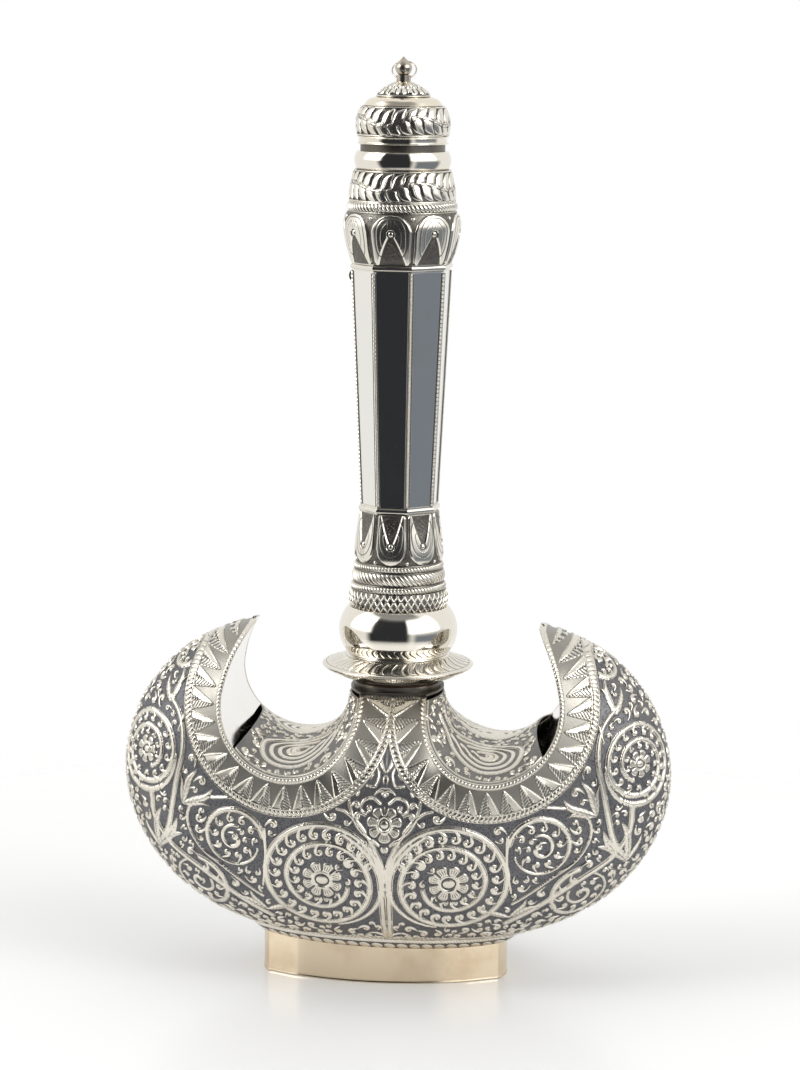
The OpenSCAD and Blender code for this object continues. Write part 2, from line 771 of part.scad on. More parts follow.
foot_ring();
foot_border();
front_shell();
back_shell();
notch_floor_left();
notch_floor_right();
horn_liner_left();
horn_liner_right();
seat_plate();
neck_socket();
neck_washer();
neck_tenon();
drip_pan_lower();
drip_pan_upper();
knop();
lattice_ring();
rope_ring_lower();
rope_ring_wide();
rope_ring_upper();
petal_collar_lower();
frame_lower();
shaft();
corner_strips();
chain_lug();
frame_upper();
petal_collar_upper();
rope_band();
leaf_collar();
shoulder_ring();
mouth_tube();
sprinkler_rose();
cap_skirt();
cap_leaf_band();
cap_step();
cap_rosette();
finial_collar();
finial_bud();
finial_ring();
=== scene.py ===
"""Dresses the silver rosewater sprinkler: its chased flask, plain foot, eight-sided neck and cap."""

import logging
import math
from dataclasses import dataclass, field
from enum import Enum
from typing import Callable, Optional, Sequence

import bpy
import numpy as np
from mathutils import Matrix, Vector


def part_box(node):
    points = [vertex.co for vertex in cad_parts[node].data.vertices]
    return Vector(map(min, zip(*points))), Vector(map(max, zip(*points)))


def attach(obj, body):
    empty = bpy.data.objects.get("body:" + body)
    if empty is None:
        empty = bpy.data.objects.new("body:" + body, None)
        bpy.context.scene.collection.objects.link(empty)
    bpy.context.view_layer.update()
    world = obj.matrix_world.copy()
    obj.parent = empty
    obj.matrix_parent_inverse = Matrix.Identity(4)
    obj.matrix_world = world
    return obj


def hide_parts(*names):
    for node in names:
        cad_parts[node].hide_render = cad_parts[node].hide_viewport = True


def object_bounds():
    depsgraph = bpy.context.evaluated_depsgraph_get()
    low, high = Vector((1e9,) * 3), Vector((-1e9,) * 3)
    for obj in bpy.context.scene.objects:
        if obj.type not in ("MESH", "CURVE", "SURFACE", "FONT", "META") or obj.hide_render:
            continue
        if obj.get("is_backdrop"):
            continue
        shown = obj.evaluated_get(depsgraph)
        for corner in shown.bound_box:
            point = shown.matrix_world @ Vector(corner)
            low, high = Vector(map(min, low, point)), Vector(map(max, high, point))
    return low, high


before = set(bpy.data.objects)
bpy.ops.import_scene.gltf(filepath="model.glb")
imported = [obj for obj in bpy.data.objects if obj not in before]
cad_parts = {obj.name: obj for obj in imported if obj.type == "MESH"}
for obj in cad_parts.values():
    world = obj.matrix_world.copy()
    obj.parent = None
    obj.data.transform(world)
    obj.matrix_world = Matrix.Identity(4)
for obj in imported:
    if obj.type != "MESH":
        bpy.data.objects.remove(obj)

Array = np.ndarray
MM = 0.001
REPORT = logging.getLogger("sprinkler")


class Stroke(Enum):
    """Cross-section of a beaten line."""

    ROUND = "round"
    DOUBLE = "double"
    CREASED = "creased"
    FLAT = "flat"


def smooth_step(x: Array) -> Array:
    """Return the cubic ease of x, clipped to 0..1."""
    t = np.clip(x, 0.0, 1.0)
    return t * t * (3.0 - 2.0 * t)


def turned(points: Array, angle: float) -> Array:
    """Return 2-D points turned about the origin by an angle in radians."""
    c, s = math.cos(angle), math.sin(angle)
    return points @ np.array([[c, s], [-s, c]])


class Sheet:
    """Flat sheet, in millimetres, that a chaser works: a height map and an ink map of fine dark cuts."""

    def __init__(self, low: tuple, high: tuple, pitch: float, wraps: bool = False) -> None:
        """Lay out an empty sheet.

        Args:
            low: Lowest x and y of the sheet.
            high: Highest x and y of the sheet.
            pitch: Distance between samples.
            wraps: True where the sheet's right edge meets its left edge.
        """
        self.low = np.array(low, float)
        self.wraps = wraps
        self.cols = max(4, int(round((high[0] - low[0]) / pitch)))
        self.rows = max(4, int(round((high[1] - low[1]) / pitch)))
        self.step = np.array([(high[0] - low[0]) / self.cols, (high[1] - low[1]) / self.rows])
        self.height = np.zeros((self.rows, self.cols), np.float32)
        self.ink = np.zeros((self.rows, self.cols), np.float32)

    def window(self, low: Array, high: Array) -> tuple:
        """Find the samples inside a box.

        Args:
            low: Lowest corner of the box.
            high: Highest corner of the box.

        Returns:
            The index pair for the maps, and the samples' x and y, or None where the box is off the sheet.
        """
        i0, j0 = np.floor((low - self.low) / self.step).astype(int)
        i1, j1 = np.ceil((high - self.low) / self.step).astype(int) + 1
        j0, j1 = max(j0, 0), min(j1, self.rows)
        if not self.wraps:
            i0, i1 = max(i0, 0), min(i1, self.cols)
        if i0 >= i1 or j0 >= j1:
            return None, None, None
        i, j = np.arange(i0, i1), np.arange(j0, j1)
        x = self.low[0] + (i + 0.5) * self.step[0]
        y = self.low[1] + (j + 0.5) * self.step[1]
        return np.ix_(j, i % self.cols), x[None, :], y[:, None]

    def line(self, points: Array, radius: object, height: float = 1.0,
             shape: Stroke = Stroke.ROUND, ink: bool = False) -> None:
        """Beat a line into the sheet.

        Args:
            points: Points of the line, one row each.
            radius: Half width, one number or one for each point.
            height: Height of the line's crown.
            shape: Cross-section of the line.
            ink: True to cut a dark line into the ink map instead.
        """
        r = np.broadcast_to(np.asarray(radius, float), (len(points),))
        for k in range(0, len(points) - 1, 8):
            p, rad = points[k:k + 9], r[k:k + 9]
            reach = rad.max() + self.step.max()
            at, x, y = self.window(p.min(0) - reach, p.max(0) + reach)
            if at is None:
                continue
            best = np.full((y.shape[0], x.shape[1]), 9.0)
            for a, b, ra, rb in zip(p[:-1], p[1:], rad[:-1], rad[1:]):
                d = b - a
                t = ((x - a[0]) * d[0] + (y - a[1]) * d[1]) / max(float(d @ d), 1e-9)
                t = np.clip(t, 0.0, 1.0)
                gap = np.hypot(x - a[0] - t * d[0], y - a[1] - t * d[1])
                np.minimum(best, gap / (ra + (rb - ra) * t), out=best)
            raised = height * crown(best, shape)
            target = self.ink if ink else self.height
            target[at] = np.maximum(target[at], raised)

    def dome(self, centre: tuple, size: tuple, angle: float = 0.0, height: float = 1.0,
             power: float = 0.5, cut: bool = False) -> None:
        """Raise an oval dome, or press it back to the ground.

        Args:
            centre: Middle of the oval.
            size: Half lengths of the oval.
            angle: Turn of the oval in radians.
            height: Height of the dome.
            power: Roundness of the dome; small is flat-topped.
            cut: True to press whatever is there down to this height.
        """
        reach = max(size)
        at, x, y = self.window(np.array(centre) - reach, np.array(centre) + reach)
        if at is None:
            return
        c, s = math.cos(angle), math.sin(angle)
        u, v = x - centre[0], y - centre[1]
        q = ((u * c + v * s) / size[0]) ** 2 + ((v * c - u * s) / size[1]) ** 2
        raised = height * np.clip(1.0 - q, 0.0, 1.0) ** power
        if cut:
            self.height[at] = np.where(q < 1.0, height, self.height[at])
        else:
            self.height[at] = np.maximum(self.height[at], raised)

    def region(self, inside: Callable, low: tuple, high: tuple, height: float) -> None:
        """Raise the part of a box where a function is positive.

        Args:
            inside: Function of x and y; 0 at the edge and 1 where the full height is reached.
            low: Lowest corner of the box.
            high: Highest corner of the box.
            height: Height of the raised part.
        """
        at, x, y = self.window(np.array(low, float), np.array(high, float))
        if at is not None:
            raised = height * np.clip(inside(x, y), 0.0, 1.0)
            self.height[at] = np.maximum(self.height[at], raised)

    def empty(self, x: float, y: float, reach: float) -> bool:
        """Tell whether nothing is raised within a distance of a point."""
        at, xs, ys = self.window(np.array([x - reach, y - reach]), np.array([x + reach, y + reach]))
        if at is None:
            return False
        near = np.hypot(xs - x, ys - y) < reach
        return not (self.height[at][near] > 0.05).any()

    def look_up(self, x: Array, y: Array) -> tuple:
        """Read the maps at any points.

        Args:
            x: Points' x.
            y: Points' y.

        Returns:
            Height and ink at each point, blended from the four nearest samples.
        """
        i = (x - self.low[0]) / self.step[0] - 0.5
        j = np.clip((y - self.low[1]) / self.step[1] - 0.5, 0, self.rows - 1.001)
        if not self.wraps:
            i = np.clip(i, 0, self.cols - 1.001)
        i0, j0 = np.floor(i).astype(int), np.floor(j).astype(int)
        fi, fj = i - i0, j - j0
        i0, i1 = i0 % self.cols, (i0 + 1) % self.cols
        j1 = np.minimum(j0 + 1, self.rows - 1)
        out = []
        for grid in (self.height, self.ink):
            low = grid[j0, i0] * (1 - fi) + grid[j0, i1] * fi
            high = grid[j1, i0] * (1 - fi) + grid[j1, i1] * fi
            out.append(low * (1 - fj) + high * fj)
        return out[0], out[1]


def crown(q: Array, shape: Stroke) -> Array:
    """Return a line's height across its width.

    Args:
        q: Distance from the line's middle, 1 at its edge.
        shape: Cross-section of the line.

    Returns:
        Height from 0 to 1.
    """
    if shape is Stroke.DOUBLE:
        body = np.clip((0.60 - q) / 0.10, 0.0, 1.0) * (0.82 + 0.18 * np.sqrt(np.clip(1 - (q / 0.6) ** 2, 0, 1)))
        return np.maximum(body, 0.85 * np.exp(-((q - 0.84) / 0.11) ** 2)) * (q < 1.1)
    if shape is Stroke.CREASED:
        return np.clip(1.0 - q, 0.0, 1.0) ** 0.8
    if shape is Stroke.FLAT:
        return smooth_step((1.0 - q) * 3.0)
    return np.sqrt(np.clip(1.0 - q * q, 0.0, 1.0))


def arc(centre: tuple, turns: Sequence, radii: Sequence, count: int = 60) -> Array:
    """Return a curve round a centre.

    Args:
        centre: Middle of the curve.
        turns: Angles in degrees, in the order that they are passed.
        radii: Distance from the centre at each of those angles.
        count: Number of points.

    Returns:
        Points of the curve.
    """
    t = np.linspace(0.0, 1.0, count)
    knots = np.linspace(0.0, 1.0, len(turns))
    a = np.radians(np.interp(t, knots, turns))
    r = np.interp(t, knots, radii)
    return np.stack([centre[0] + r * np.cos(a), centre[1] + r * np.sin(a)], 1)


def bend(points: Sequence, count: int = 40) -> Array:
    """Return a smooth curve through a few points, by Catmull and Rom's rule."""
    p = np.asarray(points, float)
    p = np.vstack([2 * p[0] - p[1], p, 2 * p[-1] - p[-2]])
    out = []
    spans = len(p) - 3
    each = max(3, count // spans)
    for k in range(spans):
        t = np.linspace(0.0, 1.0, each, endpoint=k == spans - 1)[:, None]
        a, b, c, d = p[k:k + 4]
        out.append(0.5 * (2 * b + (c - a) * t + (2 * a - 5 * b + 4 * c - d) * t ** 2
                          + (3 * b - a - 3 * c + d) * t ** 3))
    return np.vstack(out)


@dataclass
class Chaser:
    """The hand that fills a sheet with traditional scrollwork.

    Attributes:
        sheet: Sheet that is worked.
        relief: Height of a full stroke.
    """

    sheet: Sheet
    relief: float = 1.0

    def curl(self, x: float, y: float, angle: float, size: float, hand: int = 1) -> None:
        """Raise a comma-shaped curl with its eye at a point.

        Args:
            x: Eye's x.
            y: Eye's y.
            angle: Direction of the tail, in degrees.
            size: Width of the curl.
            hand: 1 or -1, the way that it winds.
        """
        t = np.linspace(0.0, 1.0, 22)
        a = hand * np.radians(330.0) * t
        r = size * (0.05 + 0.37 * t ** 0.8)
        body = np.stack([r * np.cos(a), r * np.sin(a)], 1)
        out = body[-1] - body[-2]
        out = out / np.hypot(*out)
        tail = body[-1] + np.outer(np.linspace(0.12, 0.62, 5) * size, out)
        sway = np.stack([-out[1], out[0]])
        tail += np.outer(hand * 0.12 * size * np.linspace(0, 1, 5) ** 2, sway)
        line = np.vstack([body, tail])
        turn = math.radians(angle) - math.atan2(out[1], out[0])
        line = turned(line, turn) + (x, y)
        belly = 0.135 - 0.10 * np.exp(-((t - 0.26) / 0.16) ** 2) + 0.085 * np.exp(-((t - 0.72) / 0.24) ** 2)
        wide = size * np.concatenate([belly, [0.125, 0.105, 0.085, 0.06, 0.035]])
        self.sheet.line(line, wide, self.relief)

    def curls_along(self, path: Array, side: int, pitch: float, size: float, offset: float,
                    lean: float = 60.0) -> None:
        """Set curls along a line, their tails growing from it.

        Args:
            path: Points of the line.
            side: 1 for its left side and -1 for its right side.
            pitch: Distance from curl to curl.
            size: Width of a curl.
            offset: Distance of the curls' eyes from the line.
            lean: Angle in degrees between a tail and the line's way back.
        """
        step = np.diff(path, axis=0)
        run = np.concatenate([[0.0], np.cumsum(np.hypot(step[:, 0], step[:, 1]))])
        for s in np.arange(pitch * 0.5, run[-1] - pitch * 0.3, pitch):
            k = min(int(np.searchsorted(run, s)), len(step)) - 1
            f = (s - run[k]) / max(run[k + 1] - run[k], 1e-9)
            p = path[k] + f * step[k]
            way = math.atan2(step[k, 1], step[k, 0])
            eye = p + offset * np.array([math.cos(way + side * math.pi / 2), math.sin(way + side * math.pi / 2)])
            self.curl(eye[0], eye[1], math.degrees(way) + 180 + side * lean, size, -side)

    def leaf(self, path: Array, width: float, hatch: int = 0) -> None:
        """Raise a creased leaf along a curve.

        Args:
            path: Points from the leaf's root to its tip.
            width: Largest half width.
            hatch: Number of fine cuts on each half.
        """
        t = np.linspace(0.0, 1.0, len(path))
        wide = width * (0.06 + np.sin(np.pi * t ** 0.8) ** 0.8)
        self.sheet.line(path, wide, self.relief, Stroke.CREASED)
        self.sheet.line(path, 0.12, 0.8, ink=True)
        way = np.gradient(path, axis=0)
        way /= np.maximum(np.hypot(way[:, 0], way[:, 1]), 1e-9)[:, None]
        for k in np.linspace(2, len(path) - 3, hatch).astype(int) if hatch else ():
            for side in (-1, 1):
                across = np.array([-way[k, 1], way[k, 0]]) * side + 0.7 * way[k]
                self.sheet.line(np.stack([path[k], path[k] + across * wide[k] * 0.9]), 0.09, 0.75, ink=True)

    def flower(self, x: float, y: float, radius: float, petals: int, turn: float = 0.0) -> None:
        """Raise a flower of hatched petals round an oval stippled eye.

        Args:
            x: Middle's x.
            y: Middle's y.
            radius: Radius to the petals' tips.
            petals: Number of petals.
            turn: Turn of the flower in degrees.
        """
        eye = 0.42 * radius
        at, xs, ys = self.sheet.window(np.array([x, y]) - radius, np.array([x, y]) + radius)
        if at is None:
            return
        rho, phi = np.hypot(xs - x, ys - y), np.arctan2(ys - y, xs - x) - math.radians(turn)
        lobe = np.abs(np.cos(phi * petals / 2.0))
        rim = radius * (0.74 + 0.26 * lobe ** 0.5)
        body = np.clip((rim - rho) / (0.09 * radius), 0, 1) * np.clip((rho - eye) / (0.08 * radius), 0, 1)
        curve = 0.55 + 0.45 * np.clip((rho - eye) / (rim - eye + 1e-6), 0, 1)
        gap = np.clip((lobe - 0.22) * 4.0, 0, 1)
        raised = self.relief * body * curve * (0.12 + 0.88 * gap)
        self.sheet.height[at] = np.where(rho < rim + 0.5, np.where(rho < rim, raised, 0.0), self.sheet.height[at])
        cuts = 0.5 + 0.5 * np.cos(phi * petals * 5.0)
        inner = (rho < rim * 0.80) & (rho > eye * 1.30) & (gap > 0.6)
        self.sheet.ink[at] = np.maximum(self.sheet.ink[at], np.where(inner, (cuts > 0.55) * 0.85, 0.0))
        rim_line = np.exp(-((rho - rim * 0.86) / (0.03 * radius)) ** 2) * (gap > 0.5) * 0.7
        self.sheet.ink[at] = np.maximum(self.sheet.ink[at], np.where(rho < rim, rim_line, 0.0))
        self.sheet.line(arc((x, y), (0, 360), (eye, eye), 30), 0.085 * radius, self.relief, Stroke.ROUND)
        self.sheet.dome((x, y), (eye * 0.72, eye * 0.58), 0.0, self.relief * 0.9)
        for k in range(11):
            a, r = 2.4 * k, eye * 0.62 * math.sqrt((k + 0.5) / 11)
            dot = np.array([[x + r * math.cos(a), y + r * math.sin(a)]] * 2)
            self.sheet.line(dot + [[0, 0], [0.01, 0]], 0.13, 0.7, ink=True)

    def fill(self, low: tuple, high: tuple, gap: float, size: float, allowed: Callable) -> None:
        """Set small curls wherever the ground is still bare.

        Args:
            low: Lowest corner of the area.
            high: Highest corner of the area.
            gap: Distance between the tried places.
            size: Width of a curl.
            allowed: Function of x and y that tells whether a curl may go there.
        """
        rng = np.random.default_rng(7)
        row = 0
        y = low[1]
        while y < high[1]:
            x = low[0] + (row % 2) * gap / 2
            while x < high[0]:
                px, py = x + rng.uniform(-0.2, 0.2) * gap, y + rng.uniform(-0.2, 0.2) * gap
                turn = rng.uniform(0, 360)
                if allowed(px, py) and self.sheet.empty(px, py, size * 0.62):
                    self.curl(px, py, turn, size, 1 if (row + int(x)) % 2 else -1)
                x += gap
            row += 1
            y += gap * 0.87


@dataclass(frozen=True)
class Finish:
    """A metal surface, worked by a map called tone that is 1 on crowns and 0 in the ground.

    Attributes:
        name: Name of the material.
        slot: Material slot of the record that it belongs to; not used.
        bright: Colour of the crowns.
        dark: Colour of the ground.
        bright_rough: Roughness of the crowns.
        dark_rough: Roughness of the ground.
        dark_metal: How metallic the ground is.
        even: Tone of a surface that has no map of its own, or None.
        stipple: Depth of the punched dots of the ground, in millimetres; where it is set, the dots are also lightened
            in colour as painted glints.
        stipple_mm: Distance between those dots.
        hammer: Depth of the soft unevenness of a hand-beaten sheet.
        wipe: Strength of the fine polishing lines.
        stain: Share of the surface that has dulled.
        stain_tint: Colour of the dulled places.
    """

    name: str
    slot: str
    bright: tuple
    dark: tuple = (0.03, 0.032, 0.038)
    bright_rough: float = 0.22
    dark_rough: float = 0.5
    dark_metal: float = 0.7
    even: Optional[float] = None
    stipple: float = 0.0
    stipple_mm: float = 0.42
    hammer: float = 0.0
    wipe: float = 0.0
    stain: float = 0.0
    stain_tint: tuple = (0.42, 0.36, 0.27)

    def material(self) -> bpy.types.Material:
        """Return the finish's material, made on its first use.

        Returns:
            The material.
        """
        made = bpy.data.materials.get(self.name)
        if made:
            return made
        made = bpy.data.materials.new(self.name)
        made.use_nodes = True
        bench = NodeBench(made.node_tree)
        place = bench.add("ShaderNodeTexCoord").outputs["Object"]
        shader = made.node_tree.nodes["Principled BSDF"]
        tone = self.tone(bench)
        bench.join(self.colour(bench, place, tone), shader.inputs["Base Color"])
        bench.join(bench.ranged(tone, 0.0, 1.0, self.dark_metal, 1.0), shader.inputs["Metallic"])
        bench.join(self.roughness(bench, place, tone), shader.inputs["Roughness"])
        bench.join(self.bump(bench, place, tone), shader.inputs["Normal"])
        return made

    def tone(self, bench: "NodeBench") -> bpy.types.NodeSocket:
        """Return the socket that says how far a place is from the ground."""
        if self.even is None:
            return bench.add("ShaderNodeAttribute", attribute_name="tone").outputs["Fac"]
        place = bench.add("ShaderNodeTexCoord").outputs["Object"]
        cloud = bench.noise(place, 55.0, 3.0, 0.55)
        return bench.ranged(cloud, 0.35, 0.65, max(self.even - 0.04, 0.0), min(self.even + 0.04, 1.0))

    def colour(self, bench: "NodeBench", place: bpy.types.NodeSocket,
               tone: bpy.types.NodeSocket) -> bpy.types.NodeSocket:
        """Return the colour: ground and crown by tone, with the dulled places over them and painted glints on the
        punched ground.
        """
        ramp = bench.add("ShaderNodeValToRGB")
        ramp.color_ramp.elements[0].position = 0.10
        ramp.color_ramp.elements[0].color = (*self.dark, 1)
        ramp.color_ramp.elements[1].position = 0.72
        ramp.color_ramp.elements[1].color = (*self.bright, 1)
        half = ramp.color_ramp.elements.new(0.36)
        half.color = (*[0.30 * b + 0.45 * d for b, d in zip(self.bright, self.dark)], 1)
        bench.join(tone, ramp.inputs["Fac"])
        cloud = bench.noise(place, 70.0, 4.0, 0.6)
        amount = bench.ranged(cloud, 0.46, 0.74, 0.0, self.stain)
        worn = bench.mixed(amount, ramp.outputs["Color"], self.stain_tint)
        if not self.stipple:
            return worn
        # Painted glints: the punched dots of the low ground are lightened towards 3.4 times the ground's colour,
        # standing in for their sparkle, and fade out towards the raised strokes.
        dots = bench.cells(place, 1.0 / (self.stipple_mm * MM))
        low = bench.ranged(tone, 0.10, 0.45, 0.75, 0.0)
        glint = bench.product(bench.ranged(dots, 0.35, 0.95, 0.0, 1.0), low)
        return bench.mixed(glint, worn, tuple(3.4 * d for d in self.dark))

    def roughness(self, bench: "NodeBench", place: bpy.types.NodeSocket,
                  tone: bpy.types.NodeSocket) -> bpy.types.NodeSocket:
        """Return the roughness: by tone, with a faint cloud of handling over it."""
        base = bench.ranged(tone, 0.1, 0.8, self.dark_rough, self.bright_rough)
        cloud = bench.noise(place, 160.0, 3.0, 0.55)
        return bench.sum(base, bench.ranged(cloud, 0.3, 0.7, -0.03, 0.05))

    def bump(self, bench: "NodeBench", place: bpy.types.NodeSocket,
             tone: bpy.types.NodeSocket) -> bpy.types.NodeSocket:
        """Return the normal: beaten sheet, polishing lines and punched ground, one over the other."""
        normal = None
        if self.hammer:
            normal = bench.bumped(bench.noise(place, 95.0, 2.0, 0.5), self.hammer, normal)
        if self.wipe:
            lines = bench.noise(bench.stretched(place, (5200.0, 5200.0, 260.0)), 1.0, 2.0, 0.6)
            normal = bench.bumped(lines, 0.004 * self.wipe, normal)
        if self.stipple:
            dots = bench.cells(place, 1.0 / (self.stipple_mm * MM))
            low = bench.ranged(tone, 0.15, 0.55, 1.0, 0.0)
            normal = bench.bumped(bench.product(dots, low), self.stipple, normal)
        return normal or bench.bumped(bench.noise(place, 900.0, 2.0, 0.5), 0.001, None)


class NodeBench:
    """Lays and joins the nodes of one tree."""

    def __init__(self, tree: bpy.types.NodeTree) -> None:
        """Start on a tree."""
        self.tree = tree

    def add(self, kind: str, **settings: object) -> bpy.types.Node:
        """Add a node.

        Args:
            kind: Blender's name for the node.
            **settings: Settings of the node.

        Returns:
            The node.
        """
        node = self.tree.nodes.new(kind)
        for key, value in settings.items():
            setattr(node, key, value)
        return node

    def join(self, source: bpy.types.NodeSocket, target: bpy.types.NodeSocket) -> None:
        """Join two sockets."""
        self.tree.links.new(source, target)

    def math(self, operation: str, *values: object, clamp: bool = False) -> bpy.types.NodeSocket:
        """Return the result of a Math node on sockets or numbers."""
        node = self.add("ShaderNodeMath", operation=operation, use_clamp=clamp)
        for socket, value in zip(node.inputs, values):
            if isinstance(value, (int, float)):
                socket.default_value = value
            else:
                self.join(value, socket)
        return node.outputs[0]

    def sum(self, a: object, b: object) -> bpy.types.NodeSocket:
        """Return a + b."""
        return self.math("ADD", a, b)

    def product(self, a: object, b: object) -> bpy.types.NodeSocket:
        """Return a times b."""
        return self.math("MULTIPLY", a, b)

    def ranged(self, value: bpy.types.NodeSocket, low: float, high: float, start: float,
               end: float) -> bpy.types.NodeSocket:
        """Return a value smoothly mapped from low..high to start..end."""
        node = self.add("ShaderNodeMapRange", interpolation_type="SMOOTHSTEP")
        self.join(value, node.inputs["Value"])
        for name, number in (("From Min", low), ("From Max", high), ("To Min", start), ("To Max", end)):
            node.inputs[name].default_value = number
        return node.outputs["Result"]

    def noise(self, place: bpy.types.NodeSocket, scale: float, detail: float,
              rough: float) -> bpy.types.NodeSocket:
        """Return a cloud noise of a scale in waves for each metre."""
        node = self.add("ShaderNodeTexNoise")
        self.join(place, node.inputs["Vector"])
        for name, number in (("Scale", scale), ("Detail", detail), ("Roughness", rough)):
            node.inputs[name].default_value = number
        return node.outputs["Fac"]

    def cells(self, place: bpy.types.NodeSocket, scale: float) -> bpy.types.NodeSocket:
        """Return round pits, set close together."""
        node = self.add("ShaderNodeTexVoronoi", feature="F1")
        self.join(place, node.inputs["Vector"])
        node.inputs["Scale"].default_value = scale
        return self.ranged(node.outputs["Distance"], 0.12, 0.5, 0.0, 1.0)

    def stretched(self, place: bpy.types.NodeSocket, scale: tuple) -> bpy.types.NodeSocket:
        """Return a place scaled along each axis."""
        node = self.add("ShaderNodeMapping")
        self.join(place, node.inputs["Vector"])
        node.inputs["Scale"].default_value = scale
        return node.outputs["Vector"]

    def mixed(self, amount: bpy.types.NodeSocket, first: bpy.types.NodeSocket,
              second: tuple) -> bpy.types.NodeSocket:
        """Return a colour turned towards another by an amount."""
        node = self.add("ShaderNodeMix", data_type="RGBA")
        self.join(amount, node.inputs[0])
        self.join(first, node.inputs[6])
        node.inputs[7].default_value = (*second, 1)
        return node.outputs[2]

    def bumped(self, height: bpy.types.NodeSocket, depth_mm: float,
               under: Optional[bpy.types.NodeSocket]) -> bpy.types.NodeSocket:
        """Return the normal of a height laid over another normal."""
        node = self.add("ShaderNodeBump")
        node.inputs["Strength"].default_value = 1.0
        node.inputs["Distance"].default_value = depth_mm * MM
        self.join(height, node.inputs["Height"])
        if under:
            self.join(under, node.inputs["Normal"])
        return node.outputs["Normal"]


# A stipple depth above 0 also lightens the punched dots of the ground in colour, as painted glints.
CHASED = Finish("chased_silver_relief", "chased_silver", (0.80, 0.755, 0.665), (0.058, 0.058, 0.062),
                0.25, 0.45, 0.85, None, 0.045, 0.52, 0.010, 0.0, 0.25, (0.50, 0.45, 0.36))
WORKED = Finish("worked_neck_silver", "chased_silver", (0.82, 0.78, 0.70), (0.060, 0.056, 0.050),
                0.17, 0.36, 0.95, None, 0.020, 0.36, 0.004, 0.0, 0.22, (0.55, 0.47, 0.35))
POLISHED = Finish("burnished_silver", "polished_silver", (0.86, 0.815, 0.73), (0.45, 0.43, 0.39),
                  0.05, 0.22, 1.0, 0.92, 0.0, 0.4, 0.0025, 0.55, 0.16, (0.60, 0.50, 0.34))
SHAFT = Finish("wiped_silver", "polished_silver", (0.86, 0.845, 0.80), (0.45, 0.43, 0.39),
               0.07, 0.24, 1.0, 0.92, 0.0, 0.4, 0.0012, 1.6, 0.12, (0.62, 0.56, 0.45))
AGED = Finish("handled_silver", "polished_silver", (0.52, 0.465, 0.39), (0.16, 0.14, 0.12),
              0.20, 0.36, 1.0, 0.80, 0.0, 0.4, 0.002, 0.4, 0.35, (0.30, 0.25, 0.19))
GILT = Finish("gilt_silver", "warm_silver", (0.84, 0.705, 0.52), (0.42, 0.28, 0.16),
              0.17, 0.34, 1.0, 0.88, 0.0, 0.4, 0.003, 0.5, 0.55, (0.58, 0.42, 0.27))
PALE = Finish("pale_gilt_silver", "warm_silver", (0.86, 0.79, 0.665), (0.42, 0.32, 0.2),
              0.16, 0.30, 1.0, 0.88, 0.0, 0.4, 0.003, 0.5, 0.30, (0.62, 0.50, 0.34))
LINER = Finish("mirror_liner", "warm_silver", (0.93, 0.91, 0.87), (0.55, 0.5, 0.4),
               0.07, 0.2, 1.0, 0.94, 0.0, 0.4, 0.002, 0.5, 0.10, (0.75, 0.64, 0.44))
DARK = Finish("oxidised_silver", "dark_silver", (0.30, 0.275, 0.24), (0.05, 0.046, 0.042),
              0.28, 0.48, 0.9, 0.45, 0.010, 0.5, 0.003, 0.4, 0.35, (0.12, 0.095, 0.07))
LEATHER = Finish("waxed_leather", "washer_leather", (0.115, 0.062, 0.034), (0.055, 0.03, 0.018),
                 0.55, 0.7, 0.0, 0.6, 0.03, 0.6, 0.02, 0.0, 0.2, (0.05, 0.03, 0.02))


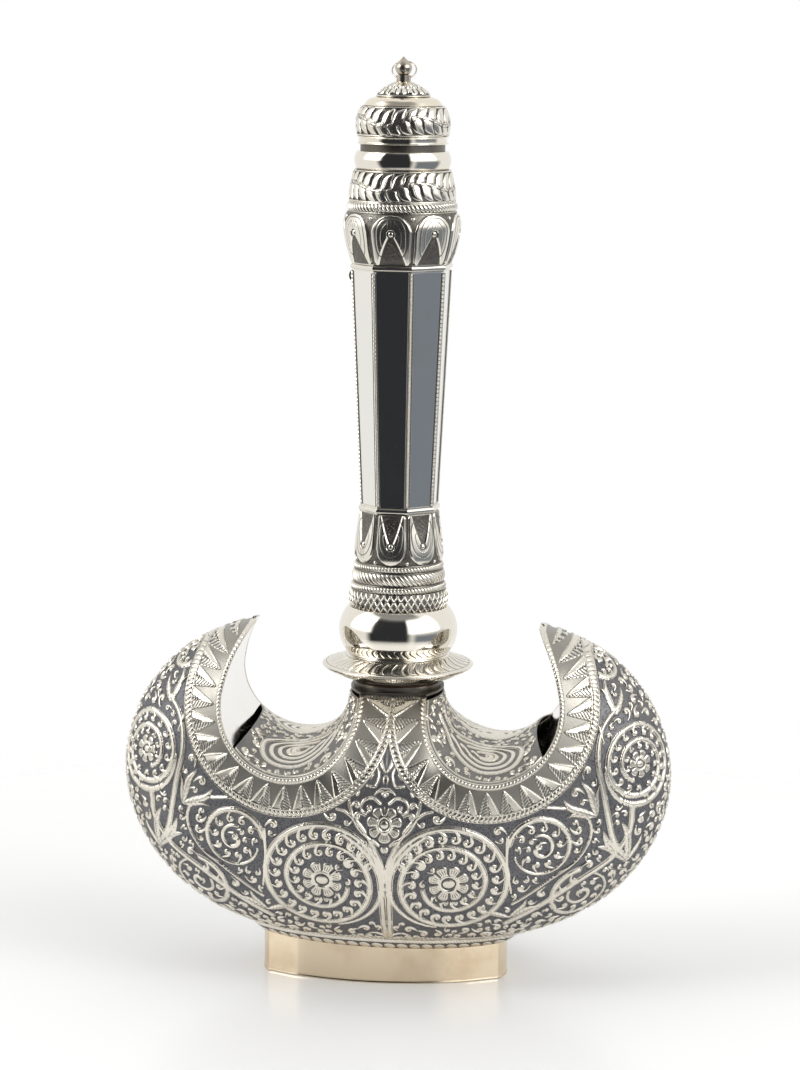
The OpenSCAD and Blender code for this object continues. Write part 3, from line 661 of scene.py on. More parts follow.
@dataclass
class Grid:
    """A grid of points, in millimetres, that becomes one piece.

    Attributes:
        points: Places, by row and column.
        tone: Tone of each point.
        round_columns: True where the last column joins the first.
        round_rows: True where the last row joins the first.
        flip: True to face the other way.
    """

    points: Array
    tone: Array
    round_columns: bool = False
    round_rows: bool = False
    flip: bool = False

    def quads(self) -> tuple:
        """Work out the faces.

        Returns:
            Corner indices of the faces, and their corners' places on the texture map.
        """
        rows, cols = self.points.shape[:2]
        up, along = rows - (not self.round_rows), cols - (not self.round_columns)
        r, c = np.meshgrid(np.arange(up), np.arange(along), indexing="ij")
        rn, cn = (r + 1) % rows, (c + 1) % cols
        faces = np.stack([r * cols + c, r * cols + cn, rn * cols + cn, rn * cols + c], -1)
        u, v = np.stack([c, c + 1, c + 1, c], -1) / along, np.stack([r, r, r + 1, r + 1], -1) / up
        spots = np.stack([u, v], -1)
        if self.flip:
            faces, spots = faces[..., ::-1], spots[:, :, ::-1]
        return faces.reshape(-1, 4), spots.reshape(-1, 2)

    def piece(self, name: str, finish: Finish, body: str, nodes: Sequence[str] = (),
              sharp: Optional[float] = None) -> bpy.types.Object:
        """Make the piece, dress it and set it on its body.

        Args:
            name: Name of the piece.
            finish: Its finish.
            body: Body that it rides on.
            nodes: CAD nodes that it stands for.
            sharp: Angle in degrees above which an edge shades as a hard one.

        Returns:
            The piece.
        """
        faces, spots = self.quads()
        mesh = bpy.data.meshes.new(name)
        mesh.vertices.add(self.points.shape[0] * self.points.shape[1])
        mesh.vertices.foreach_set("co", (self.points.reshape(-1) * MM).astype(np.float32))
        mesh.loops.add(faces.size)
        mesh.loops.foreach_set("vertex_index", faces.reshape(-1).astype(np.int32))
        mesh.polygons.add(len(faces))
        mesh.polygons.foreach_set("loop_start", np.arange(0, faces.size, 4, dtype=np.int32))
        mesh.update(calc_edges=True)
        mesh.polygons.foreach_set("use_smooth", np.ones(len(faces), bool))
        layer = mesh.uv_layers.new(name="OFBake")
        layer.data.foreach_set("uv", spots.reshape(-1).astype(np.float32))
        layer = mesh.attributes.new("tone", "FLOAT", "POINT")
        layer.data.foreach_set("value", np.clip(self.tone, 0, 1).reshape(-1).astype(np.float32))
        if sharp:
            mesh.set_sharp_from_angle(angle=math.radians(sharp))
        mesh.materials.append(finish.material())
        made = bpy.data.objects.new(name, mesh)
        bpy.context.scene.collection.objects.link(made)
        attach(made, body)
        if nodes:
            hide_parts(*nodes)
        REPORT.info("%s: %d faces", name, len(faces))
        return made


def facing(points: Array, round_columns: bool = False) -> Array:
    """Return the unit normals of a grid of points, rows before columns."""
    if round_columns:
        wide = np.concatenate([points[:, -1:], points, points[:, :1]], 1)
        along = wide[:, 2:] - wide[:, :-2]
    else:
        along = np.gradient(points, axis=1)
    across = np.cross(along, np.gradient(points, axis=0))
    return across / np.maximum(np.linalg.norm(across, axis=-1, keepdims=True), 1e-9)


def tone_of(height: Array, ink: Array, ground: object = 0.0) -> Array:
    """Return the tone of a relief from its height, its dark cuts and the tone of its ground."""
    return (ground + (1 - ground) * smooth_step(height * 1.5)) * (1.0 - 0.9 * np.clip(ink, 0, 1))


def rope(along: Array, across: Array, pitch: float, lean: float, depth: float = 0.75) -> Array:
    """Return the height of a rope's strands.

    Args:
        along: Place along the rope.
        across: Place across it, from -1 to 1.
        pitch: Distance from strand to strand.
        lean: Strands that are passed from one edge to the other, halved.
        depth: Depth of the furrows between strands.

    Returns:
        Height from 0 to 1.
    """
    strand = np.abs(np.sin(np.pi * (along / pitch + lean * across)))
    return np.sqrt(np.clip(1 - across ** 2, 0, 1)) * (1 - depth * (1 - strand) ** 2.2)


def spaced(path: Array, pitch: float) -> Array:
    """Return a polyline with points at about an equal pitch, its corners kept."""
    out = [path[:1]]
    for a, b in zip(path[:-1], path[1:]):
        n = max(1, int(round(float(np.hypot(*(b - a))) / pitch)))
        out.append(a + (b - a) * (np.arange(1, n + 1) / n)[:, None])
    return np.vstack(out)


@dataclass
class Turning:
    """A closed section turned round the neck's axis, its outside worked.

    Attributes:
        outer: Radius and height of the outside, from its foot up.
        wall: Thickness of the metal.
        columns: Points round the piece.
        pitch: Distance between rows.
        start: Angle of the first column, in degrees.
        plan: Share of the radius at each angle from the first column, in radians.
    """

    outer: Sequence
    wall: float = 1.0
    columns: int = 480
    pitch: float = 0.2
    start: float = 0.0
    plan: Optional[Callable] = None

    def path(self) -> Array:
        """Return the outside's points at an equal pitch."""
        return spaced(np.array(self.outer, float), self.pitch)

    def run(self) -> Array:
        """Return the run along the outside at each of its rows, from 0 to 1."""
        p = self.path()
        run = np.concatenate([[0], np.cumsum(np.hypot(*np.diff(p, axis=0).T))])
        return run / run[-1]

    def grid(self, work: Optional[Callable] = None, depth: float = 0.3, sunk: float = 0.0,
             ground: float = 0.0) -> Grid:
        """Build the turned grid.

        Args:
            work: Function of the angle and the run that returns height and ink.
            depth: Rise of a full height over the ground.
            sunk: Depth of the ground under the plain section.
            ground: Tone of the ground.

        Returns:
            The closed grid.
        """
        path = self.path()
        a = math.radians(self.start) + np.arange(self.columns) * 2 * math.pi / self.columns
        share = self.plan(a - math.radians(self.start)) if self.plan else np.ones(self.columns)
        r = path[:, :1] * share
        skin = np.stack([r * np.cos(a), r * np.sin(a), np.repeat(path[:, 1:], self.columns, 1)], -1)
        tone = np.ones(r.shape)
        if work:
            height, ink = work(np.broadcast_to(a, r.shape), np.broadcast_to(self.run()[:, None], r.shape))
            lift = depth * height - sunk - 0.05 * ink
            skin = skin + facing(skin, True) * lift[..., None]
            tone = tone_of(height, ink, ground)
        back = [(path[-1, 0] - 0.04, path[-1, 1]), (path[-1, 0] - self.wall, path[-1, 1]),
                (path[-1, 0] - self.wall, path[-1, 1] - 0.04), (path[0, 0] - self.wall, path[0, 1] + 0.04),
                (path[0, 0] - self.wall, path[0, 1]), (path[0, 0] - 0.04, path[0, 1])]
        inner = [np.stack([br * share * np.cos(a), br * share * np.sin(a), np.full(self.columns, bz)], -1)
                 for br, bz in back]
        points = np.concatenate([skin, np.array(inner)], 0)
        return Grid(points, np.concatenate([tone, np.full((len(back), self.columns), 0.4)], 0), True, True)


@dataclass(frozen=True)
class FlaskForm:
    """The flask's shape, in millimetres, as the CAD source has it.

    Attributes:
        half_w: Half width of the outline.
        half_d: Half depth.
        mid_z: Height of the widest point.
        half_h: Half height of the outline's ellipse.
        belly_flat: Half height at which the belly flattens.
        horn_flat: Half height at which the horns flatten.
        mound_z: Height of the mound.
        mound_half_d: Half depth of the mound's top.
        mound_flare: Flare of the mound for each millimetre down.
        mound_spread: Widening of the saddle away from the mound.
        notch: Centre of a notch and its radius.
        horn_r: Radius of the horn's long curve.
        horn_start: Angle at which the horn's curve begins.
        tip_z: Height of the horn tips.
        crest: Rise of the notch's floor between its rims.
        seam: Angle below level at which the floor ends.
        wall: Thickness of the sheet.
    """

    half_w: float = 74.5
    half_d: float = 35.3
    mid_z: float = 56.2
    half_h: float = 53.2
    belly_flat: float = 58.0
    horn_flat: float = 52.8
    mound_z: float = 79.2
    mound_half_d: float = 12.2
    mound_flare: float = 1.3
    mound_spread: float = 0.002
    notch: tuple = (27.0, 78.5, 18.2)
    horn_r: float = 38.0
    horn_start: float = 10.0
    tip_z: float = 97.0
    crest: float = 4.0
    seam: float = 40.0
    wall: float = 1.0

    def inside(self, x: Array, z: Array) -> Array:
        """Return how far points lie inside the outline, 1 at the middle and 0 on it."""
        dz = z - self.mid_z
        flat = np.where(dz > 0, self.horn_flat, self.belly_flat)
        return 1 - (x / self.half_w) ** 2 - (dz / self.half_h) ** 2 - (dz / flat) ** 8

    def swell(self, x: Array, z: Array) -> Array:
        """Return the half depth of the flask over points of the x-z plane."""
        e = np.maximum(self.half_d ** 2 * self.inside(x, z), 1e-6)
        m = self.mound_half_d + self.mound_flare * (self.mound_z - z) + self.mound_spread * np.abs(x) ** 3
        return (e ** -3.0 + np.maximum(m, 1.0) ** -6.0) ** (-1.0 / 6.0)

    def outline_r(self, angle: Array) -> Array:
        """Return the outline's distance from the flask's middle in directions given in radians."""
        low, high = np.full(np.shape(angle), 10.0), np.full(np.shape(angle), 100.0)
        for _ in range(40):
            mid = (low + high) / 2
            within = self.inside(mid * np.cos(angle), self.mid_z + mid * np.sin(angle)) > 0
            low, high = np.where(within, mid, low), np.where(within, high, mid)
        return low

    @property
    def mound_angle(self) -> float:
        """Return the angle, in radians, at which the mound's top meets the notch."""
        return math.pi - math.asin((self.mound_z - self.notch[1]) / self.notch[2])

    @property
    def mound_x(self) -> float:
        """Return half the width of the mound's top."""
        return self.notch[0] + self.notch[2] * math.cos(self.mound_angle)

    @property
    def horn_centre(self) -> tuple:
        """Return the centre of the horn's long curve."""
        away, a = self.horn_r - self.notch[2], math.radians(self.horn_start)
        return self.notch[0] - away * math.cos(a), self.notch[1] - away * math.sin(a)

    def lip(self, count: int) -> tuple:
        """Trace the notch's edge from the mound's middle to the horn's tip.

        Args:
            count: Number of points.

        Returns:
            Points in x and z, the ways into the metal, and the run along the edge.
        """
        n, a0 = self.notch, self.mound_angle
        a1 = 2 * math.pi + math.radians(self.horn_start)
        hx, hz = self.horn_centre
        tip = math.asin((self.tip_z - hz) / self.horn_r)
        runs = [self.mound_x, n[2] * (a1 - a0), self.horn_r * (tip - math.radians(self.horn_start))]
        s = np.linspace(0.0, sum(runs), count)
        a = a0 + (s - runs[0]) / n[2]
        b = math.radians(self.horn_start) + (s - runs[0] - runs[1]) / self.horn_r
        first, last = s < runs[0], s > runs[0] + runs[1]
        x = np.where(first, s, np.where(last, hx + self.horn_r * np.cos(b), n[0] + n[2] * np.cos(a)))
        z = np.where(first, self.mound_z, np.where(last, hz + self.horn_r * np.sin(b), n[1] + n[2] * np.sin(a)))
        ease = smooth_step((s / runs[0] - 0.5) * 2)
        way = np.stack([np.where(first, 0, np.where(last, np.cos(b), np.cos(a))),
                        np.where(first, -1, np.where(last, np.sin(b), np.sin(a)))], 1)
        corner = np.array([math.cos(a0), math.sin(a0)])
        way = np.where(first[:, None], (1 - ease[:, None]) * [0.0, -1.0] + ease[:, None] * corner, way)
        return np.stack([x, z], 1), way, s

    def band(self, x: Array, z: Array) -> tuple:
        """Measure points against the notch's edge.

        Args:
            x: Points' x.
            z: Points' z.

        Returns:
            The run along the edge and the distance out from it, in the x-z plane.
        """
        n, a0 = self.notch, self.mound_angle
        ax = np.abs(x)
        rho = np.hypot(ax - n[0], z - n[1])
        phi = np.arctan2(z - n[1], ax - n[0])
        phi = np.where(phi < math.radians(100), phi + 2 * math.pi, phi)
        s, d = self.mound_x + n[2] * (phi - a0), rho - n[2]
        hx, hz = self.horn_centre
        b = np.arctan2(z - hz, ax - hx)
        a1 = 2 * math.pi + math.radians(self.horn_start)
        horn = (phi > a1) & (ax > n[0])
        s_horn = self.mound_x + n[2] * (a1 - a0) + self.horn_r * (b - math.radians(self.horn_start))
        return np.where(horn, s_horn, s), np.where(horn, np.hypot(ax - hx, z - hz) - self.horn_r, d)


@dataclass
class FlatChart:
    """Unrolls one face of the flask to a flat sheet, true to length along every line from its middle.

    Attributes:
        form: The flask's shape.
        angles: Number of directions in the table.
        steps: Number of steps out to the outline.
    """

    form: FlaskForm
    angles: int = 361
    steps: int = 241

    def __post_init__(self) -> None:
        """Work out the table of lengths."""
        a = np.linspace(-math.pi, math.pi, self.angles)
        s = np.linspace(0, math.pi / 2, self.steps)
        rim = self.form.outline_r(a)
        rho = rim[:, None] * np.sin(s)[None, :]
        x = rho * np.cos(a)[:, None]
        z = self.form.mid_z + rho * np.sin(a)[:, None]
        y = self.form.swell(x, z)
        y[:, -1] = 0.0
        step = np.sqrt(np.diff(rho, axis=1) ** 2 + np.diff(y, axis=1) ** 2)
        self.rim = rim
        self.length = np.concatenate([np.zeros((self.angles, 1)), np.cumsum(step, axis=1)], 1)

    def flat(self, x: Array, z: Array) -> tuple:
        """Unroll points.

        Args:
            x: Points' x.
            z: Points' z.

        Returns:
            Their x and y on the flat sheet.
        """
        dz = z - self.form.mid_z
        rho, a = np.hypot(x, dz), np.arctan2(dz, x)
        i = (a + math.pi) / (2 * math.pi) * (self.angles - 1)
        i0 = np.clip(np.floor(i).astype(int), 0, self.angles - 2)
        f = i - i0
        rim = self.rim[i0] * (1 - f) + self.rim[i0 + 1] * f
        j = np.arcsin(np.clip(rho / rim, 0, 1)) / (math.pi / 2) * (self.steps - 1)
        j0 = np.clip(np.floor(j).astype(int), 0, self.steps - 2)
        g = j - j0
        near = self.length[i0, j0] * (1 - g) + self.length[i0, j0 + 1] * g
        far = self.length[i0 + 1, j0] * (1 - g) + self.length[i0 + 1, j0 + 1] * g
        run = near * (1 - f) + far * f
        return run * np.cos(a), run * np.sin(a)


@dataclass
class FlaskScrolls:
    """Draws one face's scrollwork on a flat sheet.

    Attributes:
        form: The flask's shape.
        chart: Table that unrolls the face.
        pitch: Distance between the sheet's samples.
        main: Half width of a doubled main stem.
    """

    form: FlaskForm
    chart: FlatChart
    pitch: float = 0.1
    main: float = 0.98

    def at(self, x: float, z: float) -> tuple:
        """Return the place on the flat sheet of a point of the face."""
        u, v = self.chart.flat(np.array(x, float), np.array(z, float))
        return float(u), float(v)

    def stem(self, chaser: Chaser, points: Sequence, wide: float, shape: Stroke = Stroke.DOUBLE,
             taper: float = 1.0) -> Array:
        """Draw a stem through points of the face.

        Args:
            chaser: Hand that draws.
            points: Points in x and z.
            wide: Half width at the root.
            shape: Cross-section.
            taper: Share of the width that is left at the tip.

        Returns:
            The stem's points on the flat sheet.
        """
        path = bend([self.at(*p) for p in points])
        chaser.sheet.line(path, np.linspace(wide, wide * taper, len(path)), chaser.relief, shape)
        return path

    def medallion(self, chaser: Chaser, centre: tuple, size: float, hand: int, start: float,
                  flower: float = 0.38, petals: int = 8) -> None:
        """Draw a ring of scroll that winds in round a flower, with curls between its turns.

        Args:
            chaser: Hand that draws.
            centre: Middle, in x and z.
            size: Radius of the outer turn.
            hand: 1 where the ring winds in anticlockwise, and -1 clockwise.
            start: Angle in degrees at which the outer turn begins.
            flower: Radius of the flower as a share of the ring's.
            petals: Number of petals.
        """
        c = self.at(*centre)
        turns = start + hand * np.array([0, 90, 180, 270, 360, 450, 540, 630, 690])
        radii = size * np.array([1.02, 1.0, 0.97, 0.93, 0.78, 0.66, 0.60, 0.55, 0.45])
        path = arc(c, turns, radii, 190)
        wide = np.linspace(self.main, self.main * 0.72, len(path))
        chaser.sheet.line(path, wide, chaser.relief, Stroke.DOUBLE)
        rest = arc(c, start + hand * np.array([0.0, -45, -90]), size * np.array([1.02, 1.02, 1.0]), 30)
        chaser.sheet.line(rest, np.linspace(self.main, 0.3, 30), chaser.relief, Stroke.DOUBLE)
        chaser.curls_along(path[:104], hand, 4.35, 0.205 * size, 0.165 * size, 50)
        chaser.curls_along(path[98:186], hand, 4.0, 0.180 * size, 0.140 * size, 50)
        chaser.flower(c[0], c[1], flower * size, petals, 20 * hand)

    def spiral(self, chaser: Chaser, centre: tuple, size: float, hand: int, start: float, curls: float = 0.3) -> None:
        """Draw a plain spiral whose heart is a whirl of three fat curls.

        Args:
            chaser: Hand that draws.
            centre: Middle, in x and z.
            size: Radius.
            hand: 1 where it winds in anticlockwise, and -1 clockwise.
            start: Angle in degrees at which it begins.
            curls: Size of a curl as a share of the radius.
        """
        c = self.at(*centre)
        turns = start + hand * np.array([0, 90, 180, 270, 330])
        path = arc(c, turns, size * np.array([1.05, 1.0, 0.98, 0.95, 0.88]), 110)
        chaser.sheet.line(path, np.linspace(self.main, 0.32, len(path)), chaser.relief, Stroke.DOUBLE)
        chaser.curls_along(path, hand, 0.62 * size, curls * size, 0.30 * size, 55)
        inner = arc(c, turns[:4] + 60 * hand, size * np.array([0.46, 0.42, 0.34, 0.16]), 40)
        chaser.sheet.line(inner, np.linspace(0.45, 0.7, 40), chaser.relief)
        chaser.curl(c[0], c[1] + 0.05 * size, start + 200, curls * size, hand)

    def sheaf(self, chaser: Chaser, root: tuple, aims: Sequence, lengths: Sequence, sway: float) -> None:
        """Draw leaves that fan out from a root.

        Args:
            chaser: Hand that draws.
            root: Root, in x and z.
            aims: Directions in degrees.
            lengths: Length of each leaf.
            sway: Bend of the leaves as a share of their length.
        """
        c = np.array(self.at(*root))
        for k, (aim, long) in enumerate(zip(aims, lengths)):
            a = math.radians(aim)
            way, across = np.array([math.cos(a), math.sin(a)]), np.array([-math.sin(a), math.cos(a)])
            bow = sway * long * (1 if k % 2 else -1)
            path = bend([c, c + way * long * 0.35 + across * bow * 0.6, c + way * long * 0.7 + across * bow,
                         c + way * long + across * bow * 0.3], 24)
            chaser.leaf(path, 0.085 * long + 0.35, 7)

    def draw(self) -> Sheet:
        """Draw the whole face.

        Returns:
            The finished sheet.
        """
        sheet = Sheet((-92.0, -74.0), (92.0, 74.0), self.pitch)
        chaser = Chaser(sheet)
        self.centre(chaser)
        self.medallion(chaser, (-18.2, 31.6), 16.2, 1, 12, 0.36, 7)
        self.medallion(chaser, (16.9, 32.6), 16.2, -1, 168, 0.36, 8)
        for side in (-1, 1):
            self.flank(chaser, side)
        chaser.fill((-90, -72), (90, 72), 2.2, 2.9, self.bare)
        chaser.fill((-90, -72), (90, 72), 1.3, 1.9, self.bare)
        return sheet

    def bare(self, u: float, v: float) -> bool:
        """Tell whether a place on the flat sheet lies on the face's open ground."""
        a = math.atan2(v, u)
        run = math.hypot(u, v)
        i = (a + math.pi) / (2 * math.pi) * (self.chart.angles - 1)
        row = self.chart.length[int(round(i))]
        if run > row[-1] - 0.6:
            return False
        s = np.interp(run, row, np.linspace(0, math.pi / 2, self.chart.steps))
        rho = self.chart.rim[int(round(i))] * math.sin(s)
        x, z = rho * math.cos(a), self.form.mid_z + rho * math.sin(a)
        _, d = self.form.band(np.array(x), np.array(z))
        return bool(d > 11.6 and z > 13.0)

    def centre(self, chaser: Chaser) -> None:
        """Draw the stems, the flower and the paired scrolls on the face's middle line."""
        for side in (-1, 1):
            self.stem(chaser, [(0.6 * side, 13.5), (0.8 * side, 20), (1.0 * side, 29), (1.9 * side, 36),
                               (6.0 * side, 42.5), (10.5 * side, 46.0)], self.main)
            self.stem(chaser, [(0.4 * side, 33), (1.2 * side, 39), (5.5 * side, 47.5), (9.8 * side, 52.0),
                               (12.6 * side, 53.0)], 0.7, Stroke.DOUBLE, 0.6)
            loop = self.stem(chaser, [(1.6 * side, 43.5), (6.8 * side, 48), (9.4 * side, 55), (8.2 * side, 62),
                                      (4.6 * side, 65.4), (1.9 * side, 62.6), (2.6 * side, 59.2),
                                      (4.9 * side, 59.3)], 0.5, Stroke.DOUBLE, 0.7)
            chaser.curls_along(loop[8:26], side, 3.6, 2.1, 1.7, 55)
            self.stem(chaser, [(1.2 * side, 54.8), (3.2 * side, 56.2), (5.6 * side, 55.4), (6.2 * side, 53.2),
                               (4.9 * side, 52.0)], 0.42, Stroke.ROUND, 0.8)
            u, v = self.at(4.8 * side, 61.6)
            chaser.curl(u, v, 90 + 40 * side, 2.2, -side)
            u, v = self.at(6.9 * side, 51.2)
            chaser.curl(u, v, 200 if side > 0 else -20, 2.4, side)
            self.stem(chaser, [(0.5 * side, 15), (3.5 * side, 16.2), (6.0 * side, 15.2)], 0.5, Stroke.ROUND, 0.3)
            u, v = self.at(2.7 * side, 18.2)
            chaser.curl(u, v, -90 + 30 * side, 2.0, side)
        tip = [self.at(-0.4, 62.5), self.at(-0.9, 66.5), self.at(-0.7, 71.0), self.at(-0.4, 74.5)]
        chaser.leaf(bend(tip, 24), 1.3, 8)
        for side in (-1, 1):
            side_leaf = [self.at(0, 62.0), self.at(1.7 * side, 65.5), self.at(2.3 * side, 70), self.at(1.3 * side, 73)]
            chaser.leaf(bend(side_leaf, 20), 0.75, 6)
        u, v = self.at(-0.4, 49.2)
        chaser.flower(u, v, 5.3, 8, 10)

    def flank(self, chaser: Chaser, side: int) -> None:
        """Draw the scrolls of one flank.

        Args:
            chaser: Hand that draws.
            side: 1 for the right flank and -1 for the left one.
        """
        s = side
        right = side > 0
        self.spiral(chaser, (40.9 * s, 42.6), 8.3, -s, 90 + 80 * s, 0.30)
        self.medallion(chaser, (66.5 * s, 63.3), 11.4, s, 270, 0.36, 7)
        self.spiral(chaser, (51.2 * s, 27.6 if right else 28.6), 8.6, s, 90 + 10 * s, 0.28)
        self.spiral(chaser, (55.0 * s, 89.6), 5.6, s, 270 - 30 * s, 0.36)
        self.stem(chaser, [(31.5 * s, 19.5), (40 * s, 24.5), (50 * s, 31.5), (59.5 * s, 38.0), (64.0 * s, 45),
                           (64.8 * s, 52)], self.main)
        self.stem(chaser, [(33.5 * s, 26.0), (38 * s, 29.0), (44 * s, 33.5), (50.5 * s, 38.5), (54 * s, 45),
                           (53.0 * s, 50.5), (47.5 * s, 53.6)], 0.5)
        self.stem(chaser, [(63 * s, 36.5), (60.0 * s, 43), (58.5 * s, 50), (57.0 * s, 58), (55.4 * s, 66),
                           (56.6 * s, 74), (61.0 * s, 79.5)], self.main, Stroke.DOUBLE, 0.7)
        self.stem(chaser, [(56.8 * s, 70), (53.5 * s, 79), (51.6 * s, 85), (52.2 * s, 92)], 0.5, Stroke.DOUBLE, 0.6)
        self.stem(chaser, [(47 * s, 53.4), (40 * s, 53.8), (34.6 * s, 51.2)], 0.5, Stroke.DOUBLE, 0.6)
        self.stem(chaser, [(32.4 * s, 46), (32.2 * s, 38), (33.2 * s, 29.5)], 0.5, Stroke.ROUND, 0.6)
        aims = (150, 128, 108, 88, 66) if right else (30, 52, 72, 92, 114)
        self.sheaf(chaser, (63.5 * s, 36.0), aims, (13, 15, 14, 12, 9), 0.10)
        aims = (180, 150, 118, 84) if right else (0, 30, 62, 96)
        self.sheaf(chaser, (55.5 * s, 50.5), aims, (9, 11, 11, 9), 0.12)
        self.sheaf(chaser, (59.8 * s, 76.5), (120, 96, 70) if right else (60, 84, 110), (9, 11, 9), 0.12)
        self.sheaf(chaser, (32.5 * s, 21.5), (168, 20, 60) if right else (12, 160, 120), (9, 9, 8), 0.12)


@dataclass
class FootForm:
    """The foot's plan: two long curves, cut corners and two bowed ends, as the CAD source has it.

    Attributes:
        long: Length over all.
        wide: Width over all.
        front: Length of the long curves' chord.
        bow: Rise of the long curves over their chord.
        end_w: Width of the ends' chord.
        end_bow: Rise of the ends over their chord.
        shift: Place of the middle along X.
        wall: Thickness of the foot's wall.
        columns: Points round the foot.
    """

    long: float = 67.2
    wide: float = 30.8
    front: float = 46.4
    bow: float = 4.3
    end_w: float = 14.2
    end_bow: float = 2.0
    shift: float = -2.6
    wall: float = 1.2
    columns: int = 900

    def outline(self) -> tuple:
        """Trace the plan.

        Returns:
            Points at an equal pitch, and the ways out of the foot there.
        """
        def curve(half_l: float, half_w: float, bow: float) -> Array:
            """Trace one bowed side.

            Args:
                half_l: Half its chord.
                half_w: Distance of its crest from the middle.
                bow: Rise over the chord.

            Returns:
                Points along the side.
            """
            r = (half_l ** 2 + bow ** 2) / (2 * bow)
            b = math.asin(half_l / r) * np.linspace(1, -1, 60)
            return np.stack([r * np.sin(b), half_w - r + r * np.cos(b)], 1)

        front = curve(self.front / 2, self.wide / 2, self.bow)
        side = curve(self.end_w / 2, self.long / 2, self.end_bow)
        loop = np.vstack([front, np.stack([-side[:, 1], side[:, 0]], 1), -front,
                          np.stack([side[:, 1], -side[:, 0]], 1)])
        loop = np.vstack([loop, loop[:1]])
        run = np.concatenate([[0], np.cumsum(np.hypot(*np.diff(loop, axis=0).T))])
        at = np.arange(self.columns) / self.columns * run[-1]
        flat = np.stack([np.interp(at, run, loop[:, k]) for k in (0, 1)], 1)
        width = 9
        kernel = np.hanning(width + 2)[1:-1]
        wide = np.vstack([flat[-width:], flat, flat[:width]])
        soft = np.stack([np.convolve(wide[:, k], kernel / kernel.sum(), "same") for k in (0, 1)], 1)[width:-width]
        way = np.roll(soft, -1, 0) - np.roll(soft, 1, 0)
        out = np.stack([way[:, 1], -way[:, 0]], 1) / np.hypot(*way.T)[:, None]
        out *= np.sign((out * soft).sum(1))[:, None]
        return soft + [self.shift, 0.0], out


